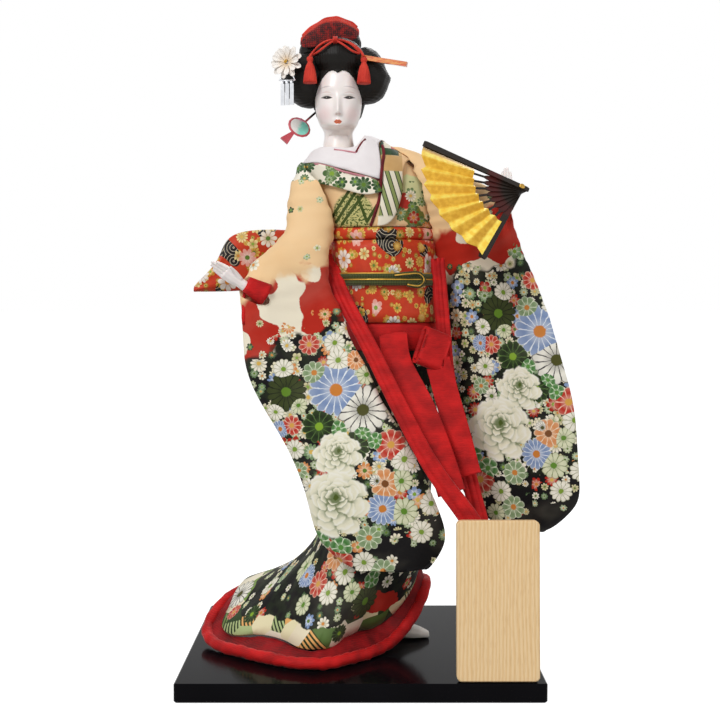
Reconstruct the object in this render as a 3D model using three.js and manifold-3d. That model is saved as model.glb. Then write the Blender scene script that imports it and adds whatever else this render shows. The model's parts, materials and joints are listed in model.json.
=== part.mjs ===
// A dancing doll in a long-sleeved robe, holding a folding fan, on a lacquered board with a name plaque.
// Millimetres, +Z up. The origin is the centre of the board's underside, and the doll looks along -Y.
// Left and right in the names are the doll's own, so its left hand is on the +X side.
import * as THREE from "three";
import { mergeVertices } from "three/addons/utils/BufferGeometryUtils.js";
import Module from "manifold-3d";

const wasm = await Module();
wasm.setup();

// Clearance between pieces that touch, and the wall of single cloth layers
const GAP = 0.35;
const CLOTH = 2.6;

// Board
const BOARD_WIDTH = 270;
const BOARD_DEPTH = 216;
const BOARD_THICKNESS = 14;
const BOARD_CORNER = 2;
const BOARD_BEVEL = 1;

// Plaque
const PLAQUE_WIDTH = 60;
const PLAQUE_HEIGHT = 116;
const PLAQUE_THICKNESS = 8;
const PLAQUE_CORNER = 3;
const PLAQUE_LEAN = 4;
const PLAQUE_SIDE_INSET = 5.5;
const PLAQUE_FRONT_INSET = 1.5;
const PROP_WIDTH = 18;
const PROP_HEIGHT = 44;
const PROP_DEPTH = 15;

// Feet, legs and their screws
const FOOT_LENGTH = 48;
const FOOT_WIDTH = 17;
const FOOT_HEIGHT = 21;
const LEG_RADIUS = 4;
const LEG_SEAT_DEPTH = 13;
const SCREW_RADIUS = 1.6;
const SCREW_LENGTH = 20;
const SCREW_HEAD_RADIUS = 3.6;
const SCREW_HEAD_HEIGHT = 2.4;

// Heights of the layers round the body, from the board up
const SKIRT_HEIGHT = 236;
const SASH_HEIGHT = 22;
const OBI_HEIGHT = 64;
const SCARF_HEIGHT = 10;
const BODICE_HEIGHT = 70;
const HIP_DROP = 12;

// How far each layer stands out from the stuffed body
const SKIRT_STAND = 4.4;
const SASH_STAND = 4.6;
const OBI_STAND = 6.4;
const SCARF_STAND = 7.4;
const COLLAR_THICKNESS = 1.8;
const LAPEL_WIDTH = 17;

// Hem
const HEM_ROLL_RADIUS = 4.6;
const HEM_SETBACK = 15;
const HEM_SCALLOP = 5;
const HEM_RISE = 9;

// Cords and ribbons
const OBI_CORD_HEIGHT = 10;
const OBI_CORD_STAND = 3;
const RIBBON_WIDTH = 22;
const RIBBON_THICKNESS = 1.6;
const STRAND_WIDTH = 7.5;
const STRAND_THICKNESS = 3.6;

// Arms and hands
const WIRE_RADIUS = 1.5;
const HAND_LENGTH = 34;
const HAND_WIDTH = 12.5;
const WRIST_RADIUS = 4;

// Head, wig and ornaments
const NECK_RADIUS = 10.4;
const NECK_DEPTH = 31;
const NECK_CLEARANCE = 0.6;
const HEAD_HEIGHT = 61;
const HEAD_HALF_WIDTH = 19.2;
const FLOWER_RADIUS = 14.5;
const FLOWER_PETALS = 12;
const PIN_RADIUS = 0.9;
const STRIP_WIDTH = 3.2;
const STRIP_LENGTH = 18;
const STRIP_THICKNESS = 0.6;
const TASSEL_LENGTH = 20;
const TASSEL_RADIUS = 5.4;
const CORD_RADIUS = 1.1;
const DISC_RADIUS = 8.6;
const DISC_THICKNESS = 1.8;
const BAR_LENGTH = 44;
const BAR_WIDTH = 3.6;

// Fan
const FAN_LENGTH = 80;
const FAN_SPREAD = 83;
const FAN_RIBS = 7;
const FAN_LAYER = 0.95;
const RIB_THICKNESS = 0.6;
const GUARD_THICKNESS = 1.3;
const GUARD_WIDTH = 6.4;
const LEAF_INNER = 38;
const LEAF_THICKNESS = 0.5;
const PLEAT_DEPTH = 3.2;
const RIVET_RADIUS = 1.1;
const RIVET_HEAD_RADIUS = 2.4;
const RIVET_HEAD_HEIGHT = 0.9;

// Heights worked out from the sizes above, measured from the board's top
const SASH_TOP = SKIRT_HEIGHT + SASH_HEIGHT;
const OBI_TOP = SASH_TOP + OBI_HEIGHT;
const SCARF_TOP = OBI_TOP + SCARF_HEIGHT;
const SHOULDER = SCARF_TOP + BODICE_HEIGHT;
const CHIN = SHOULDER + 2;

const TURN = Math.PI * 2;
const radians = THREE.MathUtils.degToRad;
const lerp = THREE.MathUtils.lerp;
const clamp = THREE.MathUtils.clamp;
const at = (x, y, z) => new THREE.Vector3(x, y, z);

// A closed surface from points and faces, turned so that its faces point out
function closedSurface(points, faces) {
  let volume = 0;
  for (let i = 0; i < faces.length; i += 3) {
    const [a, b, c] = [points[faces[i]], points[faces[i + 1]], points[faces[i + 2]]];
    volume += a.dot(b.clone().cross(c));
  }
  if (volume < 0) faces.reverse();
  const geometry = new THREE.BufferGeometry().setFromPoints(points);
  geometry.setIndex(faces);
  return geometry;
}

// Rings of points joined into one skin: capped at both ends, or closed on itself where loop is true
function skin(rings, loop = false) {
  const count = rings[0].length;
  const points = rings.flat();
  const faces = [];
  const bands = loop ? rings.length : rings.length - 1;
  for (let band = 0; band < bands; band++) {
    const a = band * count;
    const b = ((band + 1) % rings.length) * count;
    for (let i = 0; i < count; i++) {
      const j = (i + 1) % count;
      if (points[a + i].distanceTo(points[b + j]) <= points[a + j].distanceTo(points[b + i])) {
        faces.push(a + i, a + j, b + j, a + i, b + j, b + i);
      } else {
        faces.push(a + i, a + j, b + i, a + j, b + j, b + i);
      }
    }
  }
  if (!loop) {
    const ends = [rings[0], rings[rings.length - 1]];
    ends.forEach((ring, end) => {
      const start = end ? (rings.length - 1) * count : 0;
      const middle = points.push(ring.reduce((sum, p) => sum.add(p), at(0, 0, 0)).divideScalar(count)) - 1;
      for (let i = 0; i < count; i++) {
        const j = (i + 1) % count;
        faces.push(middle, start + (end ? i : j), start + (end ? j : i));
      }
    });
  }
  return closedSurface(points, faces);
}

// A wall between as many outer as inner rings, open at both ends, with both faces split along the same lines
function wall(outer, inner) {
  const count = outer[0].length;
  const inside = outer.length * count;
  const points = [...outer.flat(), ...inner.flat()];
  const faces = [];
  for (let i = 0; i < count; i++) {
    const j = (i + 1) % count;
    for (let a = 0; a < inside - count; a += count) {
      const [p, q, r, s] = [a + i, a + j, a + count + j, a + count + i];
      const [first, second] = [points[p].distanceTo(points[r]), points[q].distanceTo(points[s])];
      const split = first <= second ? [p, q, r, p, r, s] : [q, r, s, q, s, p];
      faces.push(...split, ...split.map((k) => inside + k).reverse());
    }
    const last = inside - count;
    faces.push(i, inside + i, inside + j, i, inside + j, j);
    faces.push(last + i, last + j, inside + last + j, last + i, inside + last + j, inside + last + i);
  }
  return closedSurface(points, faces);
}

// A thin sheet between two grids of points, with both faces split along the same diagonals
function sheet(lower, upper) {
  const width = lower[0].length;
  const top = lower.length * width;
  const faces = [];
  const outline = [];
  for (let r = 0; r + 1 < lower.length; r++) {
    for (let c = 0; c + 1 < width; c++) {
      const [p, q] = [r * width + c, (r + 1) * width + c + 1];
      faces.push(p, p + 1, q, p, q, q - 1);
      faces.push(top + p, top + q, top + p + 1, top + p, top + q - 1, top + q);
    }
  }
  for (let c = 0; c + 1 < width; c++) outline.push(c);
  for (let r = 0; r + 1 < lower.length; r++) outline.push((r + 1) * width - 1);
  for (let c = width - 1; c > 0; c--) outline.push(top - width + c);
  for (let r = lower.length - 1; r > 0; r--) outline.push(r * width);
  outline.forEach((p, i) => {
    const q = outline[(i + 1) % outline.length];
    faces.push(q, p, top + p, q, top + p, top + q);
  });
  return closedSurface([...lower.flat(), ...upper.flat()], faces);
}

// Rings moved along their own surface normals
function offsetRings(rings, distance) {
  return rings.map((ring, r) => {
    const before = rings[Math.max(r - 1, 0)];
    const after = rings[Math.min(r + 1, rings.length - 1)];
    return ring.map((p, i) => {
      const around = ring[(i + 1) % ring.length].clone().sub(ring[(i + ring.length - 1) % ring.length]);
      const along = after[i].clone().sub(before[i]);
      const normal = along.cross(around).normalize();
      return p.clone().addScaledVector(normal, distance);
    });
  });
}

function solidOf(geometry) {
  const bare = geometry.clone();
  bare.deleteAttribute("normal");
  bare.deleteAttribute("uv");
  const merged = mergeVertices(bare, 1e-4);
  return new wasm.Manifold(
    new wasm.Mesh({
      numProp: 3,
      vertProperties: merged.attributes.position.array,
      triVerts: new Uint32Array(merged.index.array),
    }),
  );
}

// The largest body of a solid, as a geometry
function geometryOf(solid) {
  const bodies = solid.decompose().sort((a, b) => b.volume() - a.volume());
  const mesh = bodies[0].getMesh();
  const geometry = new THREE.BufferGeometry();
  geometry.setAttribute("position", new THREE.BufferAttribute(mesh.vertProperties, 3));
  geometry.setIndex(new THREE.BufferAttribute(mesh.triVerts, 1));
  return geometry;
}

function cut(geometry, ...cutters) {
  return geometryOf(cutters.reduce((left, cutter) => left.subtract(solidOf(cutter)), solidOf(geometry)));
}

function join(...geometries) {
  return geometryOf(geometries.map(solidOf).reduce((all, one) => all.add(one)));
}

function overlapOf(geometry, other) {
  return geometryOf(solidOf(geometry).intersect(solidOf(other)));
}

function moved(geometry, x, y, z) {
  return geometry.clone().translate(x, y, z);
}

// A smooth value read from rows of named numbers, keyed by the rows' z
function rowAt(rows, z) {
  const last = rows.length - 1;
  const up = Math.sign(rows[last].z - rows[0].z);
  let i = 0;
  while (i < last - 1 && (z - rows[i + 1].z) * up > 0) i++;
  const [a, b] = [rows[i], rows[i + 1]];
  const [before, after] = [rows[Math.max(i - 1, 0)], rows[Math.min(i + 2, last)]];
  const span = b.z - a.z;
  const t = clamp((z - a.z) / span, 0, 1);
  const value = {};
  for (const key of Object.keys(a)) {
    const slopeA = ((b[key] - before[key]) / (b.z - before.z)) * span;
    const slopeB = ((after[key] - a[key]) / (after.z - a.z)) * span;
    const [t2, t3] = [t * t, t * t * t];
    value[key] =
      (2 * t3 - 3 * t2 + 1) * a[key] + (t3 - 2 * t2 + t) * slopeA +
      (3 * t2 - 2 * t3) * b[key] + (t3 - t2) * slopeB;
  }
  return value;
}

// A ring of points on a level ellipse
function ellipseRing(x, y, z, rx, ry, count) {
  return Array.from({ length: count }, (_, i) => {
    const angle = (i / count) * TURN;
    return at(x + rx * Math.cos(angle), y + ry * Math.sin(angle), z);
  });
}

// An ellipsoid, turned about Y by roll
function ellipsoid(centre, rx, ry, rz, roll = 0, around = 22, rows = 14) {
  const geometry = new THREE.SphereGeometry(1, around, rows);
  geometry.rotateX(Math.PI / 2).scale(rx, ry, rz).rotateY(roll);
  return moved(geometry, centre.x, centre.y, centre.z);
}

// A round tube along a curve
function tube(curve, radius, steps, sides = 8) {
  const section = new THREE.Shape().absarc(0, 0, radius, 0, TURN);
  return new THREE.ExtrudeGeometry(section, { extrudePath: curve, steps, curveSegments: sides / 2 });
}

function curveThrough(points) {
  return new THREE.CatmullRomCurve3(points.map((p) => at(...p)), false, "centripetal");
}

function cylinder(radius, length, sides = 16) {
  return new THREE.CylinderGeometry(radius, radius, length, sides).rotateX(Math.PI / 2);
}

// Places a geometry whose own +X points along direction and whose +Z leans to up
function aimed(geometry, origin, direction, up) {
  const x = direction.clone().normalize();
  const y = up.clone().cross(x).normalize();
  const z = x.clone().cross(y);
  const matrix = new THREE.Matrix4().makeBasis(x, y, z).setPosition(origin);
  return geometry.clone().applyMatrix4(matrix);
}

// Materials, one for each kind of surface
const finish = (color, roughness, metalness = 0) =>
  new THREE.MeshStandardMaterial({ color, roughness, metalness });
const LACQUER = finish(0x0b0b0d, 0.16);
const PALE_WOOD = finish(0xe8c898, 0.6);
const STEEL = finish(0x8f9296, 0.4, 1);
const TABI = finish(0xf3f0ea, 0.85);
const STUFFING = finish(0xb99b6b, 0.95);
const PRINTED_SILK = finish(0x2a2a22, 0.7);
const PEACH_SILK = finish(0xeac59a, 0.7);
const RED_CREPE = finish(0xb3161f, 0.75);
const CRIMSON = finish(0x7a0d18, 0.7);
const WHITE_SILK = finish(0xf4f0f2, 0.6);
const BROCADE = finish(0xc23a16, 0.5);
const GREEN_CORD = finish(0x2d3514, 0.55);
const SKIN = finish(0xf0e8e4, 0.35);
const HAIR = finish(0x0c0b0a, 0.35);
const PETAL_SILK = finish(0xf1ebe2, 0.75);
const SILVER = finish(0xd8dade, 0.15, 1);
const PEARL = finish(0xcfeee4, 0.2);
const ORANGE_LACQUER = finish(0xc4622c, 0.3);
const BLACK_BAMBOO = finish(0x17130f, 0.4);
const GOLD_PAPER = finish(0xe2b52c, 0.4, 0.3);
const BRASS = finish(0xb08a3c, 0.3, 1);

const doll = new THREE.Group();
const figure = new THREE.Group();
figure.position.z = BOARD_THICKNESS;
doll.add(figure);

function add(parent, name, geometry, material) {
  const mesh = new THREE.Mesh(geometry, material);
  mesh.name = name;
  parent.add(mesh);
  return geometry;
}

// Feet: the left one shows at the hem, the right one stands behind it
const FEET = {
  left: { x: 8, y: 4, heading: 4, hip: at(34, 4, SKIRT_HEIGHT) },
  right: { x: -34, y: 24, heading: 12, hip: at(14, 8, SKIRT_HEIGHT) },
};
const ANKLE = FOOT_LENGTH * 0.2;

function footShape() {
  const rows = [
    { z: 0, width: 0.5, height: 0.82 },
    { z: 0.1, width: 0.78, height: 1 },
    { z: 0.35, width: 0.8, height: 0.92 },
    { z: 0.6, width: 1, height: 0.62 },
    { z: 0.85, width: 0.86, height: 0.42 },
    { z: 1, width: 0.34, height: 0.24 },
  ];
  const rings = levels(0, 1, 7).map((t) => {
    const row = rowAt(rows, t);
    return Array.from({ length: 10 }, (_, i) => {
      const angle = (i / 10) * TURN;
      const side = (FOOT_WIDTH / 2) * row.width * Math.cos(angle);
      const lift = Math.max(0, 0.5 + 0.5 * Math.sin(angle) * 1.2);
      return at(t * FOOT_LENGTH, side, clamp(lift, 0, 1) * FOOT_HEIGHT * row.height);
    });
  });
  return skin(rings);
}

function legCurve(foot) {
  const heading = radians(foot.heading);
  const ankle = at(foot.x + ANKLE * Math.cos(heading), foot.y + ANKLE * Math.sin(heading), 0);
  const bottom = FOOT_HEIGHT - LEG_SEAT_DEPTH;
  const top = foot.hip.clone().setZ(SKIRT_HEIGHT - HIP_DROP + LEG_SEAT_DEPTH);
  return new THREE.CatmullRomCurve3([
    ankle.clone().setZ(bottom),
    ankle.clone().setZ(FOOT_HEIGHT + LEG_SEAT_DEPTH),
    ankle.clone().lerp(top, 0.5).setZ(SKIRT_HEIGHT / 2),
    top.clone().setZ(SKIRT_HEIGHT - HIP_DROP - LEG_SEAT_DEPTH),
    top,
  ]);
}

const LEG_STEPS = 6;
const legTunnels = [];
const screwPlaces = [];
for (const [side, foot] of Object.entries(FEET)) {
  const curve = legCurve(foot);
  const ankle = curve.getPoint(0);
  const tunnel = tube(curve, LEG_RADIUS + GAP, LEG_STEPS, 10);
  const pilot = moved(cylinder(SCREW_RADIUS + GAP, SCREW_LENGTH, 12), ankle.x, ankle.y, 0);
  const shape = footShape().rotateZ(radians(foot.heading)).translate(foot.x, foot.y, GAP);
  add(figure, `foot_${side}`, cut(shape, tunnel, pilot), TABI);
  add(figure, `leg_rod_${side}`, tube(curve, LEG_RADIUS, LEG_STEPS, 10), PALE_WOOD);
  legTunnels.push(tunnel);
  screwPlaces.push({ side, x: ankle.x, y: ankle.y });
}

// Board: a bevelled slab with counterbored holes for the foot screws
function roundedRectangle(width, height, corner) {
  const [x, y] = [width / 2, height / 2];
  const shape = new THREE.Shape();
  shape.absarc(x - corner, y - corner, corner, 0, Math.PI / 2);
  shape.absarc(corner - x, y - corner, corner, Math.PI / 2, Math.PI);
  shape.absarc(corner - x, corner - y, corner, Math.PI, Math.PI * 1.5);
  shape.absarc(x - corner, corner - y, corner, Math.PI * 1.5, TURN);
  return shape;
}

function bevelledSlab(width, height, thickness, corner, bevel, segments = 3) {
  const shape = roundedRectangle(width - 2 * bevel, height - 2 * bevel, corner);
  const slab = new THREE.ExtrudeGeometry(shape, {
    depth: thickness - 2 * bevel,
    bevelSize: bevel,
    bevelThickness: bevel,
    bevelSegments: 1,
    curveSegments: segments,
  });
  return slab.translate(0, 0, bevel);
}

const SCREW_SINK = SCREW_HEAD_HEIGHT + 1;
const screwHoles = screwPlaces.flatMap(({ x, y }) => [
  moved(cylinder(SCREW_RADIUS + GAP, BOARD_THICKNESS * 3, 10), x, y, 0),
  moved(cylinder(SCREW_HEAD_RADIUS + GAP, SCREW_SINK * 2, 12), x, y, 0),
]);
const board = bevelledSlab(BOARD_WIDTH, BOARD_DEPTH, BOARD_THICKNESS, BOARD_CORNER, BOARD_BEVEL);
add(doll, "base_board", cut(board, ...screwHoles), LACQUER);

for (const { side, x, y } of screwPlaces) {
  const profile = [[0, 0], [SCREW_HEAD_RADIUS, 0], [SCREW_HEAD_RADIUS * 0.8, SCREW_HEAD_HEIGHT],
    [SCREW_RADIUS, SCREW_HEAD_HEIGHT], [SCREW_RADIUS, SCREW_LENGTH - 2], [0, SCREW_LENGTH]];
  const screw = new THREE.LatheGeometry(profile.map((p) => new THREE.Vector2(...p)), 10).rotateX(Math.PI / 2);
  add(doll, `foot_screw_${side}`, moved(screw, x, y, SCREW_SINK - SCREW_HEAD_HEIGHT - GAP), STEEL);
}

// Plaque: a board that leans back on a wedge glued behind it
const plaque = new THREE.Group();
plaque.position.set(
  BOARD_WIDTH / 2 - PLAQUE_SIDE_INSET - PLAQUE_WIDTH / 2,
  PLAQUE_FRONT_INSET - BOARD_DEPTH / 2,
  BOARD_THICKNESS + GAP,
);
doll.add(plaque);
const lean = radians(PLAQUE_LEAN);
const plaqueFace = bevelledSlab(PLAQUE_WIDTH, PLAQUE_HEIGHT, PLAQUE_THICKNESS, PLAQUE_CORNER, 0.8)
  .rotateX(Math.PI / 2)
  .translate(0, PLAQUE_THICKNESS, PLAQUE_HEIGHT / 2)
  .rotateX(-lean)
  .translate(0, 0, PLAQUE_THICKNESS * Math.sin(lean));
const backOfPlaque = (z) =>
  (PLAQUE_THICKNESS - 0.5) / Math.cos(lean) + (z - PLAQUE_THICKNESS * Math.sin(lean)) * Math.tan(lean);
const wedge = new THREE.Shape([
  new THREE.Vector2(backOfPlaque(0), 0),
  new THREE.Vector2(backOfPlaque(0) + PROP_DEPTH, 0),
  new THREE.Vector2(backOfPlaque(PROP_HEIGHT) + PROP_DEPTH * 0.3, PROP_HEIGHT),
  new THREE.Vector2(backOfPlaque(PROP_HEIGHT), PROP_HEIGHT),
]);
const prop = new THREE.ExtrudeGeometry(wedge, { depth: PROP_WIDTH, bevelEnabled: false });
prop.rotateX(Math.PI / 2).rotateZ(Math.PI / 2).translate(-PROP_WIDTH / 2, 0, 0);
add(plaque, "plaque", join(plaqueFace, prop), PALE_WOOD);

// Body: stuffed core, with the layers of dress as walls that follow its profile
const TORSO = [
  { z: SKIRT_HEIGHT - HIP_DROP, x: 25.5, y: 4, rx: 33, ry: 30 },
  { z: SASH_TOP, x: 24, y: 3, rx: 34, ry: 30 },
  { z: SASH_TOP + OBI_HEIGHT / 2, x: 20, y: 2, rx: 34.5, ry: 29 },
  { z: OBI_TOP, x: 18, y: 2, rx: 36, ry: 29 },
  { z: SCARF_TOP + BODICE_HEIGHT * 0.35, x: 13, y: 2, rx: 40, ry: 29 },
  { z: SCARF_TOP + BODICE_HEIGHT * 0.66, x: 3, y: 3, rx: 40, ry: 25 },
  { z: SCARF_TOP + BODICE_HEIGHT * 0.85, x: -7, y: 4, rx: 33, ry: 20 },
  { z: SHOULDER, x: -15, y: 4, rx: 18, ry: 14 },
];
const AROUND = 20;

function torsoPoint(angle, z, stand) {
  const row = rowAt(TORSO, z);
  return at(row.x + (row.rx + stand) * Math.cos(angle), row.y + (row.ry + stand) * Math.sin(angle), z);
}

function torsoRing(z, stand) {
  const row = rowAt(TORSO, z);
  return ellipseRing(row.x, row.y, z, row.rx + stand, row.ry + stand, AROUND);
}

function levels(low, high, count) {
  return Array.from({ length: count }, (_, i) => lerp(low, high, i / (count - 1)));
}

// One layer round the body between two heights; puff is how far its middle stands out further
function layer(low, high, inside, outside, rows, puff = 0) {
  const heights = levels(low, high, rows);
  const swell = (z) => puff * Math.sin((Math.PI * (z - low)) / (high - low));
  return wall(
    heights.map((z) => torsoRing(z, outside + swell(z))),
    heights.map((z) => torsoRing(z, inside)),
  );
}

// The solid inside a layer, used to cut what lies against it
const CUT_AROUND = 16;
function layerCutter(low, high, stand, rows) {
  const wider = 1 / Math.cos(Math.PI / CUT_AROUND);
  return skin(levels(low - GAP, high + GAP, rows).map((z) => {
    const row = rowAt(TORSO, clamp(z, TORSO[0].z, SHOULDER));
    const [rx, ry] = [row.rx + stand + GAP, row.ry + stand + GAP];
    return ellipseRing(row.x, row.y, z, rx * wider, ry * wider, CUT_AROUND);
  }));
}

const HEAD = at(-17.4, -2, CHIN);
const neckHole = cylinder(NECK_RADIUS + NECK_CLEARANCE, NECK_DEPTH * 2, 20);
const neckSocket = moved(neckHole, HEAD.x, HEAD.y + 4, CHIN);

// Where the fan is held, and which way it faces
const FAN_PIVOT = at(120.2, -45, SHOULDER - 43.9);
const FAN_TOP = at(-0.915, 0, 0.4035).normalize();
const FAN_FACE = at(0.278, -0.724, 0.631).normalize();
const FAN_DOWN = FAN_FACE.clone().cross(FAN_TOP);
const STACK = ((FAN_RIBS + 1) / 2) * FAN_LAYER + GUARD_THICKNESS - RIB_THICKNESS / 2;
const RIVET_END = STACK + GAP + RIVET_HEAD_HEIGHT;

// Hands: where each wrist is and which way its fingers point
const HANDS = {
  right: {
    wrist: at(-84, -70, SHOULDER - 117),
    aim: at(-0.78, -0.26, 0.57).normalize(),
    up: at(0.25, 1, 0.3),
    curl: 1.5,
    socket: 0.28,
  },
  left: {
    wrist: FAN_PIVOT.clone()
      .addScaledVector(FAN_FACE, -RIVET_END - WRIST_RADIUS * 0.8 - GAP)
      .addScaledVector(FAN_DOWN, HAND_LENGTH * 0.36)
      .addScaledVector(FAN_TOP, 2),
    aim: FAN_DOWN.clone().multiplyScalar(-1).addScaledVector(FAN_TOP, 0.32).normalize(),
    up: FAN_FACE.clone().multiplyScalar(-1),
    curl: 1,
    socket: 0.1,
  },
};
for (const hand of Object.values(HANDS)) {
  hand.socketEnd = hand.wrist.clone().addScaledVector(hand.aim, HAND_LENGTH * hand.socket);
}

// Arm wires run from the shoulders into the hands
const RIGHT_ARM = curveThrough([
  [-31, 3, SHOULDER - 25], [-39, 1, SHOULDER - 29], [-41, -6, SHOULDER - 66], [-42, -16, SHOULDER - 100],
  [-60, -46, SHOULDER - 115], HANDS.right.wrist.toArray(), HANDS.right.socketEnd.toArray(),
]);
const LEFT_ARM = curveThrough([
  [6, 4, SHOULDER - 22], [30, 4, SHOULDER - 22], [72, 2, SHOULDER - 40], [94, -24, SHOULDER - 54],
  HANDS.left.socketEnd.toArray(),
]);
const WIRE_STEPS = 12;
const wireTunnels = [RIGHT_ARM, LEFT_ARM].map((curve) => tube(curve, WIRE_RADIUS + GAP, WIRE_STEPS, 6));
add(figure, "arm_wire_right", tube(RIGHT_ARM, WIRE_RADIUS, WIRE_STEPS, 6), STEEL);
add(figure, "arm_wire_left", tube(LEFT_ARM, WIRE_RADIUS, WIRE_STEPS, 6), STEEL);

const coreRing = (z) => torsoRing(z, 0).filter((_, i) => i % 2 === 0);
const core = skin(levels(SKIRT_HEIGHT - HIP_DROP, SHOULDER - 1, 10).map(coreRing));
add(figure, "body_core", cut(core, neckSocket, ...legTunnels, ...wireTunnels), STUFFING);

add(figure, "waist_sash", layer(SKIRT_HEIGHT + GAP, SASH_TOP, GAP, SASH_STAND, 3, 0.8), RED_CREPE);
add(figure, "obi", layer(SASH_TOP + GAP, OBI_TOP, GAP, OBI_STAND, 3), BROCADE);
add(figure, "obi_scarf", layer(OBI_TOP + GAP, SCARF_TOP, GAP, SCARF_STAND - 2.4, 3, 2.4), BROCADE);
const bodice = layer(SCARF_TOP + GAP, SHOULDER, GAP * 3, GAP * 3 + CLOTH, 7);
add(figure, "bodice", cut(bodice, neckSocket, ...wireTunnels), PEACH_SILK);

// Obi cord: two round strands side by side round the middle of the obi
const CORD_LEVEL = SASH_TOP + OBI_HEIGHT * 0.52;
const cordRows = [0, 1, 0.45, 1, 0].map((share, i, all) => ({
  z: CORD_LEVEL + (i / (all.length - 1) - 0.5) * OBI_CORD_HEIGHT,
  stand: OBI_STAND + GAP + 0.4 + share * (OBI_CORD_STAND - 0.4),
}));
const cordRound = wall(
  cordRows.map(({ z, stand }) => torsoRing(z, stand)),
  cordRows.map(({ z }) => torsoRing(z, OBI_STAND + GAP)),
);
// The loop that the cord's free end passes through
const KNOT_ANGLE = radians(-60);
const knotPlace = torsoPoint(KNOT_ANGLE, CORD_LEVEL, OBI_STAND + OBI_CORD_STAND + GAP);
const knot = new THREE.TorusGeometry(OBI_CORD_HEIGHT * 0.55, 1.3, 5, 10)
  .rotateX(Math.PI / 2)
  .scale(0.8, 1, 1)
  .rotateZ(KNOT_ANGLE + Math.PI / 2);
add(figure, "obi_cord", join(cordRound, moved(knot, knotPlace.x, knotPlace.y, knotPlace.z)), GREEN_CORD);

// White collar and lapels. Each line gives heights below the shoulder, as shares of the bodice, at angles
// in degrees from straight ahead, which grow towards the doll's left
const COLLAR_CROSS = radians(-80);
const COLLAR_COLUMNS = 24;
const COLUMN = TURN / COLLAR_COLUMNS;
const NECKLINE = [[-180, 0.16], [-125, 0.2], [-50, 0.26], [10, 0.486], [25, 0.22], [40, 0.1], [70, 0.05],
  [180, 0.16]];
const LAPEL_FOOT = [[-5, 1], [10, 1], [25, 0.66], [40, 0.3], [70, 0.22], [180, 0.4]];

function lineAt(line, angle) {
  const degrees = THREE.MathUtils.euclideanModulo(THREE.MathUtils.radToDeg(angle) + 270, 360) - 180;
  const next = Math.max(1, line.findIndex(([place]) => place >= degrees));
  const [[from, low], [to, high]] = [line[next - 1], line[next]];
  return SHOULDER - BODICE_HEIGHT * lerp(low, high, clamp((degrees - from) / (to - from), 0, 1));
}

function collarBand(from, to, columns, top, bottom, inside, outside, rows = 4) {
  const closed = Math.abs(to - from - TURN) < 1e-6;
  const count = closed ? columns : columns + 1;
  const angles = Array.from({ length: count }, (_, i) => lerp(from, to, i / columns));
  const grid = (stand) => angles.map((angle) =>
    levels(bottom(angle), top(angle), rows).map((z) => torsoPoint(angle, z, stand)));
  const [outer, inner] = [grid(outside), grid(inside)];
  return skin(angles.map((_, i) => [...outer[i], ...inner[i].reverse()]), closed);
}

const CAPE_INSIDE = CLOTH + GAP * 7.5;
const CAPE_OUTSIDE = CAPE_INSIDE + COLLAR_THICKNESS;
const neckline = (angle) => lineAt(NECKLINE, angle);
const cape = collarBand(COLLAR_CROSS, COLLAR_CROSS + TURN, COLLAR_COLUMNS, () => SHOULDER, neckline,
  CAPE_INSIDE, CAPE_OUTSIDE);
add(figure, "under_collar", cut(cape, neckSocket), WHITE_SILK);

// The left lapel runs from the nape over the shoulder, crosses the right one and tucks into the scarf
const LAPEL_OUTSIDE = CAPE_OUTSIDE + 0.5;
const LAPEL_BACK = Math.PI / 2;
const crossLine = (angle) =>
  lerp(neckline(COLLAR_CROSS), SCARF_TOP + 6 * GAP, (COLLAR_CROSS - angle) / COLUMN);
const leftTop = (angle) => (angle < COLLAR_CROSS ? crossLine(angle) : neckline(angle)) - 2 * GAP;
const leftBottom = (angle) => Math.min(
  Math.max(lineAt(LAPEL_FOOT, angle), SCARF_TOP + 2 * GAP), leftTop(angle) - 2 * GAP);
const leftLapel = collarBand(
  COLLAR_CROSS - COLUMN, LAPEL_BACK - 0.02, 13, leftTop, leftBottom, CAPE_INSIDE, LAPEL_OUTSIDE);
add(figure, "lapel_left", cut(leftLapel, ...wireTunnels), PRINTED_SILK);
const rightTop = (angle) => neckline(angle) - 3 * GAP;
const rightBottom = (angle) => Math.max(
  rightTop(angle) - LAPEL_WIDTH,
  angle > COLLAR_CROSS - COLUMN ? crossLine(angle) + 6 * GAP : 0,
);
const rightLapel = collarBand(
  LAPEL_BACK - TURN + 0.02, COLLAR_CROSS - COLUMN / 3, 12, rightTop, rightBottom, CAPE_INSIDE, LAPEL_OUTSIDE);
add(figure, "lapel_right", cut(rightLapel, ...wireTunnels), PRINTED_SILK);

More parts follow.
